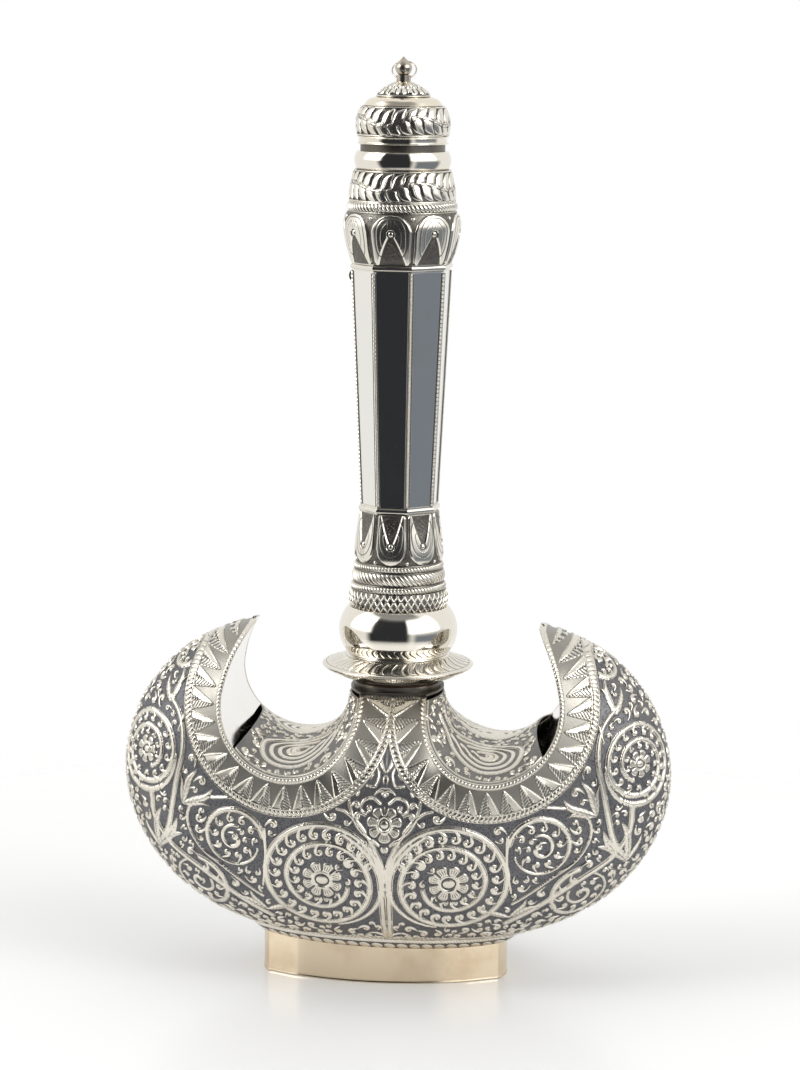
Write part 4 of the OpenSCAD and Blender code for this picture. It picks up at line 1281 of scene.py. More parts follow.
@dataclass
class Flask:
    """The crescent flask: its chased shells, notch floors, horn liners, foot and braid.

    Attributes:
        form: The flask's shape.
        foot: The foot's plan.
        rows: Rows of points from the notch to the outline.
        cols: Columns from the mound's middle to a horn's tip.
        ground: Depth of the ground under the CAD surface.
        rise: Height of the crowns over the CAD surface.
        rope_in: Width of the beaded rope at the notch's edge.
        teeth: Distances of the leaf teeth's tips and bases from the edge.
        rope_out: Distances of the outer rope's edges from the notch's edge.
        braid_w: Reach of the braid out from the foot, in plan.
        hang: How far the braid hangs down over the foot's wall.
        foot_h: Height of the foot's wall in the middle of its long side.
    """

    form: FlaskForm = field(default_factory=FlaskForm)
    foot: FootForm = field(default_factory=FootForm)
    rows: int = 360
    cols: int = 700
    ground: float = 0.18
    rise: float = 0.30
    rope_in: float = 1.3
    teeth: tuple = (1.9, 8.2)
    rope_out: tuple = (8.3, 10.2)
    braid_w: float = 3.0
    hang: float = 1.7
    foot_h: float = 10.5

    def build(self) -> None:
        """Build every piece of the flask."""
        self.sheet = FlaskScrolls(self.form, FlatChart(self.form))
        self.face = self.sheet.draw()
        self.foot_line, self.foot_out = self.foot.outline()
        self.shells()
        self.floors()
        self.foot_ring()
        self.braid()
        for node in ("seat_plate", "neck_socket"):
            dress(node, DARK)

    def outline_angles(self, s: Array, total: float) -> Array:
        """Return the outline's direction that each place of the notch's edge is joined to."""
        form = self.form
        tip, _, _ = form.lip(3)
        last = math.atan2(form.tip_z + 0.5 - form.mid_z, tip[-1, 0] + 0.4)
        bottom = form.mound_x + form.notch[2] * (1.5 * math.pi - form.mound_angle)
        side = form.mound_x + form.notch[2] * (2 * math.pi - form.mound_angle)
        return np.interp(s, (0, form.mound_x, bottom, side, total),
                         (-math.pi / 2, -1.40, -0.87, 0.07, last))

    def skin(self) -> tuple:
        """Trace the right front quarter of the shell.

        Returns:
            Its points, by row from the notch to the outline and by column from the mound to the horn, and
            the notch's edge with its ways in.
        """
        form = self.form
        lip, way, s = form.lip(self.cols)
        a = self.outline_angles(s, s[-1])
        r = form.outline_r(a)
        far = np.stack([r * np.cos(a), form.mid_z + r * np.sin(a)], 1)
        t = np.sin(np.linspace(0, math.pi / 2, 500))
        flat = lip[None] + (far - lip)[None] * t[:, None, None]
        y = form.swell(flat[..., 0], flat[..., 1])
        y[-1] = 0
        solid = np.stack([flat[..., 0], -y, flat[..., 1]], -1)
        run = np.concatenate([np.zeros((1, self.cols)),
                              np.cumsum(np.linalg.norm(np.diff(solid, axis=0), axis=-1), 0)])
        share = np.empty((self.rows, self.cols))
        for k in range(self.cols):
            share[:, k] = np.interp(np.linspace(0, run[-1, k], self.rows), run[:, k], t)
        flat = lip[None] + (far - lip)[None] * share[..., None]
        y = form.swell(flat[..., 0], flat[..., 1])
        y[-1] = 0
        return np.stack([flat[..., 0], -y, flat[..., 1]], -1), lip, way

    def relief(self, x: Array, y: Array, z: Array) -> tuple:
        """Work out the chasing of the shell.

        Args:
            x: Points' x.
            y: Points' y.
            z: Points' z.

        Returns:
            Height, ink and the ground's tone at each point.
        """
        u, v = self.sheet.chart.flat(x, z)
        height, ink = self.face.look_up(u, v)
        s, d = self.form.band(x, z)
        q = self.foot_gap(x, y)
        low = z < 26
        clear = smooth_step((d - 10.4) / 0.4) * np.where(low, smooth_step((q - 4.5) / 0.4), 1.0)
        height, ink = height * clear, ink * clear
        h, k = self.notch_band(s, d)
        height, ink = np.maximum(height, h), np.maximum(ink, k)
        ground = 0.40 * smooth_step((self.teeth[1] - d) / 0.4)
        rim = np.where(low, np.exp(-((q - 3.1) / 0.18) ** 2) + np.exp(-((q - 4.4) / 0.18) ** 2), 0)
        cord = np.where(low & (q > 3.1) & (q < 4.4),
                        rope(np.arctan2(y, (x - self.foot.shift) * 0.5) * 26, (q - 3.75) / 0.6, 0.8, 0.35), 0)
        return np.clip(np.maximum(height, np.maximum(rim, cord)), 0, 1), ink, ground

    def notch_band(self, s: Array, d: Array) -> tuple:
        """Work out the ropes and leaf teeth round the notch.

        Args:
            s: Run along the notch's edge.
            d: Distance from the edge.

        Returns:
            Height and ink of each point.
        """
        low, high = self.rope_out
        mid, half = (low + high) / 2, (high - low) / 2
        height = rope(s, (d - self.rope_in / 2) / (self.rope_in / 2), 0.96, 0.35, 0.8)
        outer = rope(s, (d - mid) / (half - 0.1), 0.80, 0.40, 0.9)
        lines = np.exp(-((d - low) / 0.20) ** 2) + np.exp(-((d - high) / 0.20) ** 2)
        height = np.maximum(height, np.maximum(outer, lines))
        tip, base = self.teeth
        t = np.clip((base - d) / (base - tip), 0, 1)
        k = (s / 4.05 + 0.16 * t ** 1.6) % 1.0 - 0.5
        edge = 0.5 * (1 - t) ** 0.7
        q = k / np.maximum(edge, 0.01)
        on = (d < base) & (d > tip) & (np.abs(q) < 1)
        rib = np.maximum(np.exp(-(q / 0.13) ** 2), 0.95 * np.exp(-((np.abs(q) - 0.92) / 0.09) ** 2))
        facet = np.where(q > 0, 0.30 + 0.42 * (1 - q), 0.16 + 0.25 * (1 + q))
        leaf = np.where(on, np.maximum(facet, rib * smooth_step((1 - t) * 8)), 0)
        fir = np.abs(k) / 0.13 + (t / 0.46) ** 1.5
        fir_on = (fir < 1) & (d < base)
        leaf = np.where(fir_on, 0.55 * (np.cos(2 * np.pi * (d * 1.5 - np.abs(k) * 6)) > 0) + 0.05, leaf)
        cuts = np.where(on & (q < -0.12) & ~fir_on, (np.cos(2 * np.pi * (s * 1.15 + d * 1.25)) > 0.2) * 0.75, 0)
        cuts = np.maximum(cuts, np.where(fir_on & (np.abs(k) < 0.018), 0.9, 0))
        return np.clip(np.maximum(height, leaf), 0, 1), cuts

    def foot_gap(self, x: Array, y: Array) -> Array:
        """Return how far points lie outside the foot, in plan."""
        angle = np.arctan2(self.foot_line[:, 1], self.foot_line[:, 0] - self.foot.shift)
        order = np.argsort(angle)
        r = np.hypot(self.foot_line[:, 0] - self.foot.shift, self.foot_line[:, 1])[order]
        a = angle[order]
        a = np.concatenate([[a[-1] - 2 * np.pi], a, [a[0] + 2 * np.pi]])
        r = np.concatenate([r[-1:], r, r[:1]])
        point = np.arctan2(y, x - self.foot.shift)
        near = np.interp(point, a, r)
        slope = np.abs((self.foot_line - [self.foot.shift, 0]) * self.foot_out).sum(1)[order]
        slope = np.concatenate([slope[-1:], slope, slope[:1]]) / r
        return (np.hypot(x - self.foot.shift, y) - near) * np.interp(point, a, slope)

    def shells(self) -> None:
        """Build the chased front and back in twelve pieces whose edges meet."""
        skin, lip, way = self.skin()
        height, ink, ground = self.relief(skin[..., 0], skin[..., 1], skin[..., 2])
        edge = smooth_step(np.arange(self.rows) / 3.0)[:, None]
        height = height * edge
        out = facing(skin)
        out *= np.sign((out * (skin - [0, 0, self.form.mid_z])).sum(-1, keepdims=True) + 1e-12)
        out[-1, :, 1] = 0
        out[:, 0, 0] = 0
        out /= np.linalg.norm(out, axis=-1, keepdims=True)
        lift = self.ground * edge * -1 + (self.ground + self.rise) * height - 0.05 * ink
        work = skin + out * lift[..., None]
        tone = tone_of(height, ink, ground)
        rim = self.rim(lip, way)
        work = np.concatenate([rim, work], 0)
        tone = np.concatenate([np.ones((len(rim), self.cols)), tone], 0)
        third = len(work) // 3
        for end, flat in (("front", 1.0), ("back", -1.0)):
            for side, hand in (("right", 1.0), ("left", -1.0)):
                whole = work * [hand, flat, 1.0]
                for part, rows in (("upper", slice(0, third + 1)), ("middle", slice(third, 2 * third + 1)),
                                   ("lower", slice(2 * third, None))):
                    grid = Grid(whole[rows], tone[rows], flip=hand * flat < 0)
                    grid.piece(f"chased_{end}_{side}_{part}", CHASED, "flask", [f"{end}_shell"])

    def rim(self, lip: Array, way: Array) -> Array:
        """Trace the shell's cut edge, over the metal's thickness and down its inner side."""
        form = self.form
        reach = form.swell(lip[:, 0], lip[:, 1])
        wall = np.minimum(form.wall, 0.4 * reach)
        rows = []
        for inward, depth in ((1.0, 1.2), (1.0, 0.1), (0.85, -0.08), (0.5, -0.14), (0.15, -0.08)):
            p = lip + way * depth
            y = form.swell(p[:, 0], p[:, 1]) if depth > 1 else reach
            rows.append(np.stack([p[:, 0], -(y - wall * inward), p[:, 1]], 1))
        rows = np.array(rows)
        rows[:, 0, 0] = 0
        return rows

    def floors(self) -> None:
        """Build the chased floors of the notches and the plain liners of the horns."""
        form = self.form
        lip, way, s = form.lip(760)
        seam = form.mound_x + form.notch[2] * (2 * math.pi - math.radians(form.seam) - form.mound_angle)
        first = form.mound_x + 0.9
        for name, low, high, crest, finish in (("notch_floor", first, seam, form.crest, CHASED),
                                               ("horn_liner", seam + 0.5, s[-1], 0.0, LINER)):
            at = np.linspace(low, high, 420 if crest else 200)
            p = np.stack([np.interp(at, s, lip[:, k]) for k in (0, 1)], 1)
            w = np.stack([np.interp(at, s, way[:, k]) for k in (0, 1)], 1)
            reach = form.swell(p[:, 0], p[:, 1])
            limit = reach - np.minimum(form.wall, 0.4 * reach) - 0.2
            across = np.linspace(-1, 1, 300 if crest else 90)
            bow = crest * (1 - across ** 2)
            flat = p[:, None, :] - w[:, None, :] * bow[None, :, None]
            skin = np.stack([flat[..., 0], np.broadcast_to(across * limit[:, None], flat.shape[:2]),
                             flat[..., 1]], -1)
            tone = np.ones(skin.shape[:2])
            if crest:
                height, ink = self.floor_relief(at - low, high - low, across, limit)
                out = facing(skin)
                out *= np.sign((out * np.stack([-w[:, 0], 0 * at, -w[:, 1]], 1)[:, None]).sum(-1, keepdims=True))
                skin = skin + out * (0.36 * height - 0.12 - 0.05 * ink)[..., None]
                tone = tone_of(height, ink, 0.28)
            under = np.stack([flat[..., 0] + w[:, None, 0] * 0.8, skin[..., 1], flat[..., 1] + w[:, None, 1] * 0.8],
                             -1)
            ends = [skin[:1] * 0.5 + under[:1] * 0.5, skin, skin[-1:] * 0.5 + under[-1:] * 0.5]
            points = np.concatenate(ends, 0)
            tone = np.concatenate([tone[:1], tone, tone[-1:]], 0)
            for side, hand in (("right", 1.0), ("left", -1.0)):
                grid = Grid(points * [hand, 1, 1], tone, flip=hand < 0)
                grid.piece(f"{name}_{side}_sheet", finish, "flask", [f"{name}_{side}"])

    def floor_relief(self, run: Array, long: float, across: Array, limit: Array) -> tuple:
        """Draw a notch floor's big drop-shaped lobes and nested crescents.

        Args:
            run: Run along the floor.
            long: Length of the floor.
            across: Place across the floor, from -1 to 1.
            limit: Half width of the floor along its run.

        Returns:
            Height and ink at each point.
        """
        wide = float(limit.max()) + 1
        sheet = Sheet((0.0, -wide), (long, wide), 0.1)
        chaser = Chaser(sheet)
        for side in (-1, 1):
            half = float(np.median(limit))
            c = (0.60 * long, side * 0.46 * half)
            drop = bend([(0.10 * long, side * 0.16 * half), (0.26 * long, side * 0.24 * half),
                         (0.46 * long, side * 0.16 * half), (0.70 * long, side * 0.17 * half),
                         (0.86 * long, side * 0.42 * half), (0.80 * long, side * 0.74 * half),
                         (0.58 * long, side * 0.84 * half), (0.38 * long, side * 0.66 * half),
                         (0.24 * long, side * 0.42 * half), (0.12 * long, side * 0.34 * half)], 120)
            sheet.line(drop, 0.95, 1.0, Stroke.DOUBLE)
            for k, share in enumerate((0.74, 0.50, 0.27)):
                inner = (drop - c) * share + c
                sheet.line(inner[12 + 3 * k:-6], 0.75, 1.0, Stroke.ROUND)
            chaser.curl(c[0], c[1], 180, 4.2, side)
            for f, v in ((0.08, 0.62), (0.22, 0.74), (0.93, 0.80), (0.94, 0.30), (0.36, 0.88), (0.90, 0.55)):
                chaser.curl(f * long, side * v * half, 40 + 260 * f * side, 3.4, side)
        chaser.fill((1.0, -wide), (long - 1.0, wide), 2.7, 2.0, lambda x, y: abs(y) < 0.95 * np.interp(x, run, limit))
        x = np.broadcast_to(run[:, None], (len(run), len(across)))
        y = across[None, :] * limit[:, None]
        height, ink = sheet.look_up(x, y)
        edge = smooth_step((limit[:, None] - np.abs(y)) / 0.7) * smooth_step(x / 0.7) * smooth_step((long - x) / 0.7)
        frame_line = np.exp(-(((limit[:, None] - np.abs(y)) - 1.1) / 0.3) ** 2)
        return np.clip(np.maximum(height * edge, frame_line), 0, 1), ink * edge

    def body_z(self, x: Array, y: Array) -> Array:
        """Return the height of the flask's underside over places of the plan."""
        low, high = np.full(x.shape, 0.0), np.full(x.shape, self.form.mid_z)
        for _ in range(40):
            mid = (low + high) / 2
            free = self.form.swell(x, mid) < np.abs(y)
            low, high = np.where(free, mid, low), np.where(free, high, mid)
        return low

    def foot_ring(self) -> None:
        """Build the plain foot, its top cut to the flask."""
        line, out = self.foot_line, self.foot_out
        top = np.maximum(self.body_z(line[:, 0], line[:, 1]) + 0.15, self.foot_h)
        rows = []
        for off, up in ((0.0, 0.10), (0.10, 0.02), (0.10, 0.25), (0.02, 0.45)):
            rows.append(np.column_stack([line + out * off, np.full(len(line), up)]))
        for t in np.linspace(0.06, 1.0, 30):
            bow = 0.10 * math.sin(math.pi * t)
            rows.append(np.column_stack([line - out * bow, top * t]))
        inner = line - out * self.foot.wall
        rows.append(np.column_stack([inner, np.maximum(self.body_z(inner[:, 0], inner[:, 1]) - 0.1, 2.0)]))
        rows.append(np.column_stack([inner, np.full(len(line), 0.15)]))
        rows.append(np.column_stack([line - out * (self.foot.wall - 0.15), np.zeros(len(line))]))
        rows.append(np.column_stack([line - out * 0.1, np.zeros(len(line))]))
        points = np.array(rows)
        Grid(points, np.full(points.shape[:2], 0.9), True, True).piece("burnished_foot", GILT, "flask", ["foot_ring"])

    def braid(self) -> None:
        """Build the braid of lapped leaves over the foot."""
        line, out = self.foot_line, self.foot_out
        step = np.linalg.norm(np.roll(line, -1, 0) - line, axis=1)
        run = np.concatenate([[0], np.cumsum(step)[:-1]])
        total = float(step.sum())
        fine = 3
        at = np.arange(len(line) * fine) / (len(line) * fine) * total
        loop = np.vstack([line, line[:1]])
        ways = np.vstack([out, out[:1]])
        runs = np.append(run, total)
        base = np.stack([np.interp(at, runs, loop[:, k]) for k in (0, 1)], 1)
        way = np.stack([np.interp(at, runs, ways[:, k]) for k in (0, 1)], 1)
        low = base + way * 0.12
        high = base + way * self.braid_w
        z0 = np.maximum(self.body_z(base[:, 0], base[:, 1]) + 0.05, self.foot_h - 0.1) - self.hang
        z1 = self.body_z(high[:, 0], high[:, 1]) + 0.12
        t = np.linspace(0, 1, 34)
        p0, p1 = np.column_stack([low, z0]), np.column_stack([high, z1])
        skin = p0[None] + (p1 - p0)[None] * t[:, None, None]
        belly = 0.45 * np.sin(np.pi * t) ** 0.8
        outward = np.column_stack([way * 0.6, np.full(len(way), -0.8)])
        skin = skin + outward[None] * belly[:, None, None]
        count = round(total / 3.3)
        cell = (at[None, :] / total * count + 0.35 * (t[:, None] - 0.35) + 0 * t[:, None]) % 1.0
        lobe = (t[:, None] - 0.34) / 0.32
        q = np.sqrt(((cell - 0.46) / 0.50) ** 2 + lobe ** 2)
        height = np.clip((1 - q) * 3.0, 0, 1) * (0.60 + 0.40 * cell)
        ink = np.where(q < 0.85, np.exp(-((q - 0.62) / 0.07) ** 2) * 0.7, 0)
        cord = rope(at[None, :] + 0 * t[:, None], np.clip((t[:, None] - 0.84) / 0.14, -1, 1), 0.85, 0.5, 0.9)
        height = np.maximum(height, np.maximum(cord, 0.7 * np.exp(-((t[:, None] - 0.02) / 0.03) ** 2)))
        skin = skin + outward[None] * (0.34 * height - 0.04 * ink)[..., None]
        back = [p1 + [0, 0, 0.5], p0 + [0, 0, 0.6]]
        points = np.concatenate([skin, np.array(back)], 0)
        tone = np.concatenate([tone_of(height, ink), np.full((2, len(at)), 0.3)], 0)
        Grid(points, tone, True, True).piece("braided_border", WORKED, "flask", ["foot_border"])


def dress(node: str, finish: Finish) -> None:
    """Give a CAD node that stays in view its finish.

    Args:
        node: Name of the node.
        finish: Finish that it takes.
    """
    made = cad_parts[node]
    for place in made.material_slots:
        place.material = finish.material()
    REPORT.info("%s: kept, %s", node, finish.name)


def span(node: str) -> tuple:
    """Return the lowest and highest point of a CAD node, in millimetres."""
    low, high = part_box(node)
    return low.z / MM, high.z / MM


def girth(node: str) -> float:
    """Return the largest radius of a CAD node that is turned on the neck's axis, in millimetres."""
    low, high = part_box(node)
    return (high.x - low.x) / 2 / MM


def bead(node: str, bow: float, steps: int = 12) -> list:
    """Return the outside of a ring with a rounded face, radius and height from its foot up."""
    low, high = span(node)
    r = girth(node)
    return [(r - bow * (2 * t - 1) ** 2, low + (high - low) * t) for t in np.linspace(0, 1, steps)]


def swept(points: Sequence, count: int = 60) -> list:
    """Return a smooth outside through a few radii and heights."""
    return [tuple(p) for p in bend(points, count)]


def diamonds(a: Array, v: Array, around: int, tall: float, line: float = 0.16) -> Array:
    """Return the raised lines of a lattice.

    Args:
        a: Angle.
        v: Run across the band, from 0 to 1.
        around: Diamonds round the ring.
        tall: Diamonds up the band.
        line: Half width of a line as a share of a diamond.

    Returns:
        Height from 0 to 1.
    """
    x, y = a / (2 * np.pi) * around, v * tall
    one, two = np.abs((x + y) % 1.0 - 0.5), np.abs((x - y) % 1.0 - 0.5)
    nearest = np.minimum(0.5 - one, 0.5 - two)
    return smooth_step((line - nearest) / line * 1.6) * (0.8 + 0.2 * np.cos(np.pi * (v - 0.5)))


@dataclass
class PetalCollar:
    """Eight domed lotus petals with engraved outlines, each with a bead and a stippled tongue.

    Attributes:
        petals: Number of petals.
        corner: Angle of the neck's corner, in degrees.
        upright: True where the petals stand on their feet.
        radius: Radius at which the sheet is drawn.
        tall: Run of the collar's face.
        arches: Engraved arches inside a petal, as points of half width and height.
    """

    petals: int
    corner: float
    upright: bool
    radius: float
    tall: float
    arches: tuple = (((0.52, 0.16), (0.66, 0.30), (0.69, 0.52), (0.63, 0.74), (0.38, 0.89), (0.0, 0.92)),
                     ((0.44, 0.36), (0.49, 0.52), (0.44, 0.68), (0.28, 0.80), (0.16, 0.84)))

    def sheet(self) -> Sheet:
        """Draw the collar.

        Returns:
            The finished sheet, its x running round the collar.
        """
        wide = 2 * math.pi * self.radius
        sheet = Sheet((0.0, 0.0), (wide, self.tall), 0.06, True)
        pitch = wide / self.petals
        for k in range(self.petals):
            self.petal(sheet, (k + 0.5) * pitch, pitch / 2)
        for k in range(self.petals):
            spot = self.place(k * pitch, 0.91 if self.upright else 0.95)
            sheet.dome(spot, (0.82, 0.82), height=0.0, cut=True)
            sheet.dome(spot, (0.58, 0.58))
        return sheet

    def place(self, x: float, y: float) -> tuple:
        """Return a point of a petal, turned over where the collar hangs."""
        return (x, y * self.tall if self.upright else (1 - y) * self.tall)

    def petal(self, sheet: Sheet, mid: float, half: float) -> None:
        """Draw one petal and the tongue under it.

        Args:
            sheet: Sheet that is worked.
            mid: Middle of the petal, along the sheet.
            half: Half the distance from petal to petal.
        """
        def body(x: Array, y: Array) -> Array:
            """Return how far points lie inside the petal and outside its tongue.

            Args:
                x: Points' x.
                y: Points' y.

            Returns:
                Share of the full height.
            """
            up = y / self.tall if self.upright else 1 - y / self.tall
            wide = np.interp(up, (0, 0.05, 0.16, 0.30, 0.50, 0.66, 0.80, 0.90, 0.96, 0.985),
                             (0.86, 0.95, 0.955, 0.94, 0.955, 0.95, 0.83, 0.62, 0.38, 0.0))
            tongue = 0.66 * np.clip(1 - up / 0.60, 0, 1) ** 0.8
            away = np.abs(x - mid) / half
            return (np.minimum(wide - away, away - tongue + 0.5 * (up > 0.58)) * half / 0.55) ** 0.6

        with np.errstate(invalid="ignore"):
            sheet.region(lambda x, y: np.nan_to_num(body(x, y)), (mid - half, 0), (mid + half, self.tall), 1.0)
        for points, width in zip(self.arches, (0.17, 0.12)):
            for side in (-1, 1):
                line = bend([self.place(mid + side * half * x, y) for x, y in points], 40)
                sheet.line(line, width, 1.0, ink=True)
        for x in (-0.14, 0.0, 0.14):
            sheet.line(np.array([self.place(mid + x * half, 0.72), self.place(mid + x * half * 1.2, 0.87)]), 0.11,
                       0.9, ink=True)
        spot = self.place(mid, 0.61)
        sheet.dome(spot, (1.08, 1.08), height=0.0, cut=True)
        sheet.dome(spot, (0.78, 0.78))
        rng = np.random.default_rng(3)
        for up, across in rng.uniform((0.02, -0.5), (0.5, 0.5), (44, 2)):
            x, y = self.place(mid + across * half * (1 - up / 0.6), up)
            sheet.line(np.array([[x, y], [x + 0.01, y]]), 0.13, 0.26)

    def work(self, a: Array, v: Array) -> tuple:
        """Return the collar's height and ink at angles and runs."""
        if not hasattr(self, "drawn"):
            self.drawn = self.sheet()
        turn = (a - math.radians(self.corner)) % (2 * np.pi)
        return self.drawn.look_up(turn * self.radius, v * self.tall)


@dataclass
class LeafVine:
    """A wavy stem round the neck with a row of broad lapped leaves over and under it.

    Attributes:
        radius: Radius at which the sheet is drawn.
        tall: Run of the band's face.
        waves: Waves round the band.
        leaves: Leaves for each wave, on one side.
        sway: Sway of the stem as a share of the band's width.
        edge: Width of the plain lines at the band's edges.
    """

    radius: float
    tall: float
    waves: int
    leaves: int
    sway: float = 0.13
    edge: float = 0.4

    def stem(self, x: Array) -> Array:
        """Return the stem's height at places along the band."""
        return self.tall * (0.5 + self.sway * np.sin(x / self.radius * self.waves))

    def sheet(self) -> Sheet:
        """Draw the band.

        Returns:
            The finished sheet, its x running round the band.
        """
        wide = 2 * math.pi * self.radius
        sheet = Sheet((0.0, 0.0), (wide, self.tall), 0.06, True)
        pitch = wide / (self.waves * self.leaves)
        for k in range(self.waves * self.leaves):
            for side in (-1, 1):
                at = (k + 0.25 + 0.25 * side) * pitch
                y = float(self.stem(at))
                room = (self.tall - self.edge - y) if side > 0 else (y - self.edge)
                leaf = bend([(at, y), (at + 0.42 * pitch, y + side * 0.22 * room),
                             (at + 0.62 * pitch, y + side * 0.62 * room),
                             (at + 1.15 * pitch, y + side * 0.97 * room)], 22)
                t = np.linspace(0, 1, len(leaf))
                fat = 0.47 * pitch * np.sin(np.pi * np.clip(t, 0, 1) ** 0.9) ** 0.7 + 0.05
                way = np.gradient(leaf, axis=0)
                away = np.stack([-way[:, 1], way[:, 0]], 1) / np.hypot(*way.T)[:, None]
                sheet.line(leaf, fat, 1.0)
                for hand, width in ((-1, 0.13), (1, 0.13)):
                    sheet.line(leaf + hand * away * fat[:, None], width, 0.95, ink=True)
                sheet.line(leaf[3:-6] + 0.2 * side * away[3:-6] * fat[3:-6, None], 0.08, 0.6, ink=True)
        x = np.linspace(0, wide, 40 * self.waves)
        line = np.stack([x, self.stem(x)], 1)
        sheet.line(line, 0.30)
        for off in (-0.36, 0.36):
            sheet.line(line + [0, off], 0.12, 0.8, ink=True)
        for y in (self.edge / 2, self.tall - self.edge / 2):
            sheet.line(np.array([[0, y], [wide, y]]), self.edge * 0.6, 0.9)
        return sheet

    def work(self, a: Array, v: Array) -> tuple:
        """Return the band's height and ink at angles and runs."""
        if not hasattr(self, "drawn"):
            self.drawn = self.sheet()
        return self.drawn.look_up((a % (2 * np.pi)) * self.radius, v * self.tall)


@dataclass
class NeckFoot:
    """What stands between the flask and the shaft: the drip pan, the knop, the lattice, the ropes and the petals.

    Attributes:
        gadroons: Curved lobes round the pan.
        lattice: Diamonds round the lattice ring.
        strands: Strands of the narrow ropes and of the wide one.
        corner: Angle of the neck's corner, in degrees.
    """

    gadroons: int = 37
    lattice: int = 44
    strands: tuple = (78, 56, 78)
    corner: float = -73.5

    def build(self) -> None:
        """Build every piece under the shaft."""
        self.pan()
        self.knop()
        ring = Turning(bead("lattice_ring", 0.5), 2.0, 704, 0.10)
        grid = ring.grid(lambda a, v: (diamonds(a, v, self.lattice, 1.62, 0.19), 0 * a), 0.42, 0.30, 0.16)
        grid.piece("diamond_lattice", WORKED, "neck", ["lattice_ring"])
        for node, count, lean in zip(("rope_ring_lower", "rope_ring_wide", "rope_ring_upper"), self.strands,
                                     (0.7, 1.0, 0.7)):
            self.cord(node, count, lean)
        self.petals()
        dress("neck_tenon", POLISHED)
        dress("neck_washer", LEATHER)

    def pan(self) -> None:
        """Build the drip pan: its plain underside and its gadrooned top."""
        low, high = span("drip_pan_lower")
        r = girth("drip_pan_lower")
        under = swept([(12.2, low), (14.6, low + 0.75), (17.4, low + 1.8), (r - 0.5, high - 0.55),
                       (r, high - 0.15), (r - 0.1, high)], 60)
        Turning(under, 1.4, 384, 0.2).grid().piece("pan_underside", POLISHED, "neck", ["drip_pan_lower"])
        low, high = span("drip_pan_upper")
        r = girth("drip_pan_upper")
        end = girth("lattice_ring") + 0.05
        top = swept([(r - 0.35, low), (r, low + 0.22), (r - 0.35, low + 0.5), (r - 1.1, low + 0.75),
                     (17.6, low + 1.35), (15.6, low + 2.2), (end + 0.4, high - 0.25), (end + 0.15, high)], 90)

        def lobes(a: Array, v: Array) -> tuple:
            """Return the height and ink of the pan's curved lappets.

            Args:
                a: Angle.
                v: Run up the pan.

            Returns:
                Height and ink.
            """
            up = np.clip((v - 0.20) / 0.72, 0, 1)
            cell = (a * self.gadroons / (2 * np.pi) + 0.42 * np.sin(np.pi * up) - 0.5 * up) % 1.0
            body = np.clip(1 - (2 * cell - 1) ** 2, 0, 1) ** 0.4 * smooth_step((1 - up) / 0.12)
            line = np.exp(-((cell - 0.04) / 0.06) ** 2) + 0.8 * np.exp(-((cell - 0.55) / 0.05) ** 2) * (
                np.abs(up - 0.5) < 0.30)
            ink = np.where((up > 0.01) & (up < 0.99), line, 0) + np.exp(-((v - 0.20) / 0.012) ** 2)
            return np.where(v < 0.19, 1.0, np.where(up > 0.99, 0.5, 0.3 + 0.7 * body)), np.clip(ink, 0, 1)

        Turning(top, 1.4, 1110, 0.11).grid(lobes, 0.36, 0.26).piece(
            "gadrooned_pan", WORKED, "neck", ["drip_pan_upper"])

    def knop(self) -> None:
        """Build the polished knop, an arc of a circle in section."""
        low, high = span("knop")
        r, end = girth("knop"), girth("lattice_ring") + 0.05
        bow, tall = r - end, high - low
        big = (tall ** 2 / 4 + bow ** 2) / (2 * bow)
        a = math.asin(tall / 2 / big)
        arch = [(r - big + big * math.cos(t), (low + high) / 2 + big * math.sin(t)) for t in np.linspace(-a, a, 80)]
        Turning(arch, 1.2, 384, 0.16).grid().piece("polished_knop", POLISHED, "neck", ["knop"])

    def cord(self, node: str, count: int, lean: float) -> None:
        """Build a rope ring.

        Args:
            node: CAD node that it stands for.
            count: Strands round the ring.
            lean: Strands passed from one edge to the other, halved.
        """
        def twist(a: Array, v: Array) -> tuple:
            """Return the rope's height and ink at angles a and runs v."""
            across = 2 * v - 1
            body = rope(a * count / (2 * np.pi), across / 0.94, 1.0, lean, 0.95)
            return body, 0 * a

        ring = Turning(bead(node, 0.35), 1.9, 936, 0.09)
        ring.grid(twist, 0.46, 0.30).piece(node.replace("rope_ring", "twisted_cord"), WORKED, "neck", [node])

    def petals(self) -> None:
        """Build the collar of hanging petals under the shaft."""
        low, high = span("petal_collar_lower")
        h, r = high - low, girth("petal_collar_lower")
        outside = swept([(r - 0.4, low), (r, low + h * 0.12), (r, low + h * 0.25), (r - 0.35, low + h * 0.5),
                         (r - 0.9, low + h * 0.8), (r - 1.1, high)], 90)
        collar = PetalCollar(8, self.corner, False, r, h, (
            ((0.40, 0.05), (0.74, 0.22), (0.76, 0.42), (0.66, 0.62), (0.40, 0.77), (0.0, 0.83)),
            ((0.30, 0.30), (0.50, 0.40), (0.42, 0.56), (0.22, 0.68), (0.0, 0.71))))
        Turning(outside, 1.3, 880, 0.11).grid(collar.work, 0.46, 0.26).piece(
            "hanging_petals", WORKED, "neck", ["petal_collar_lower"])


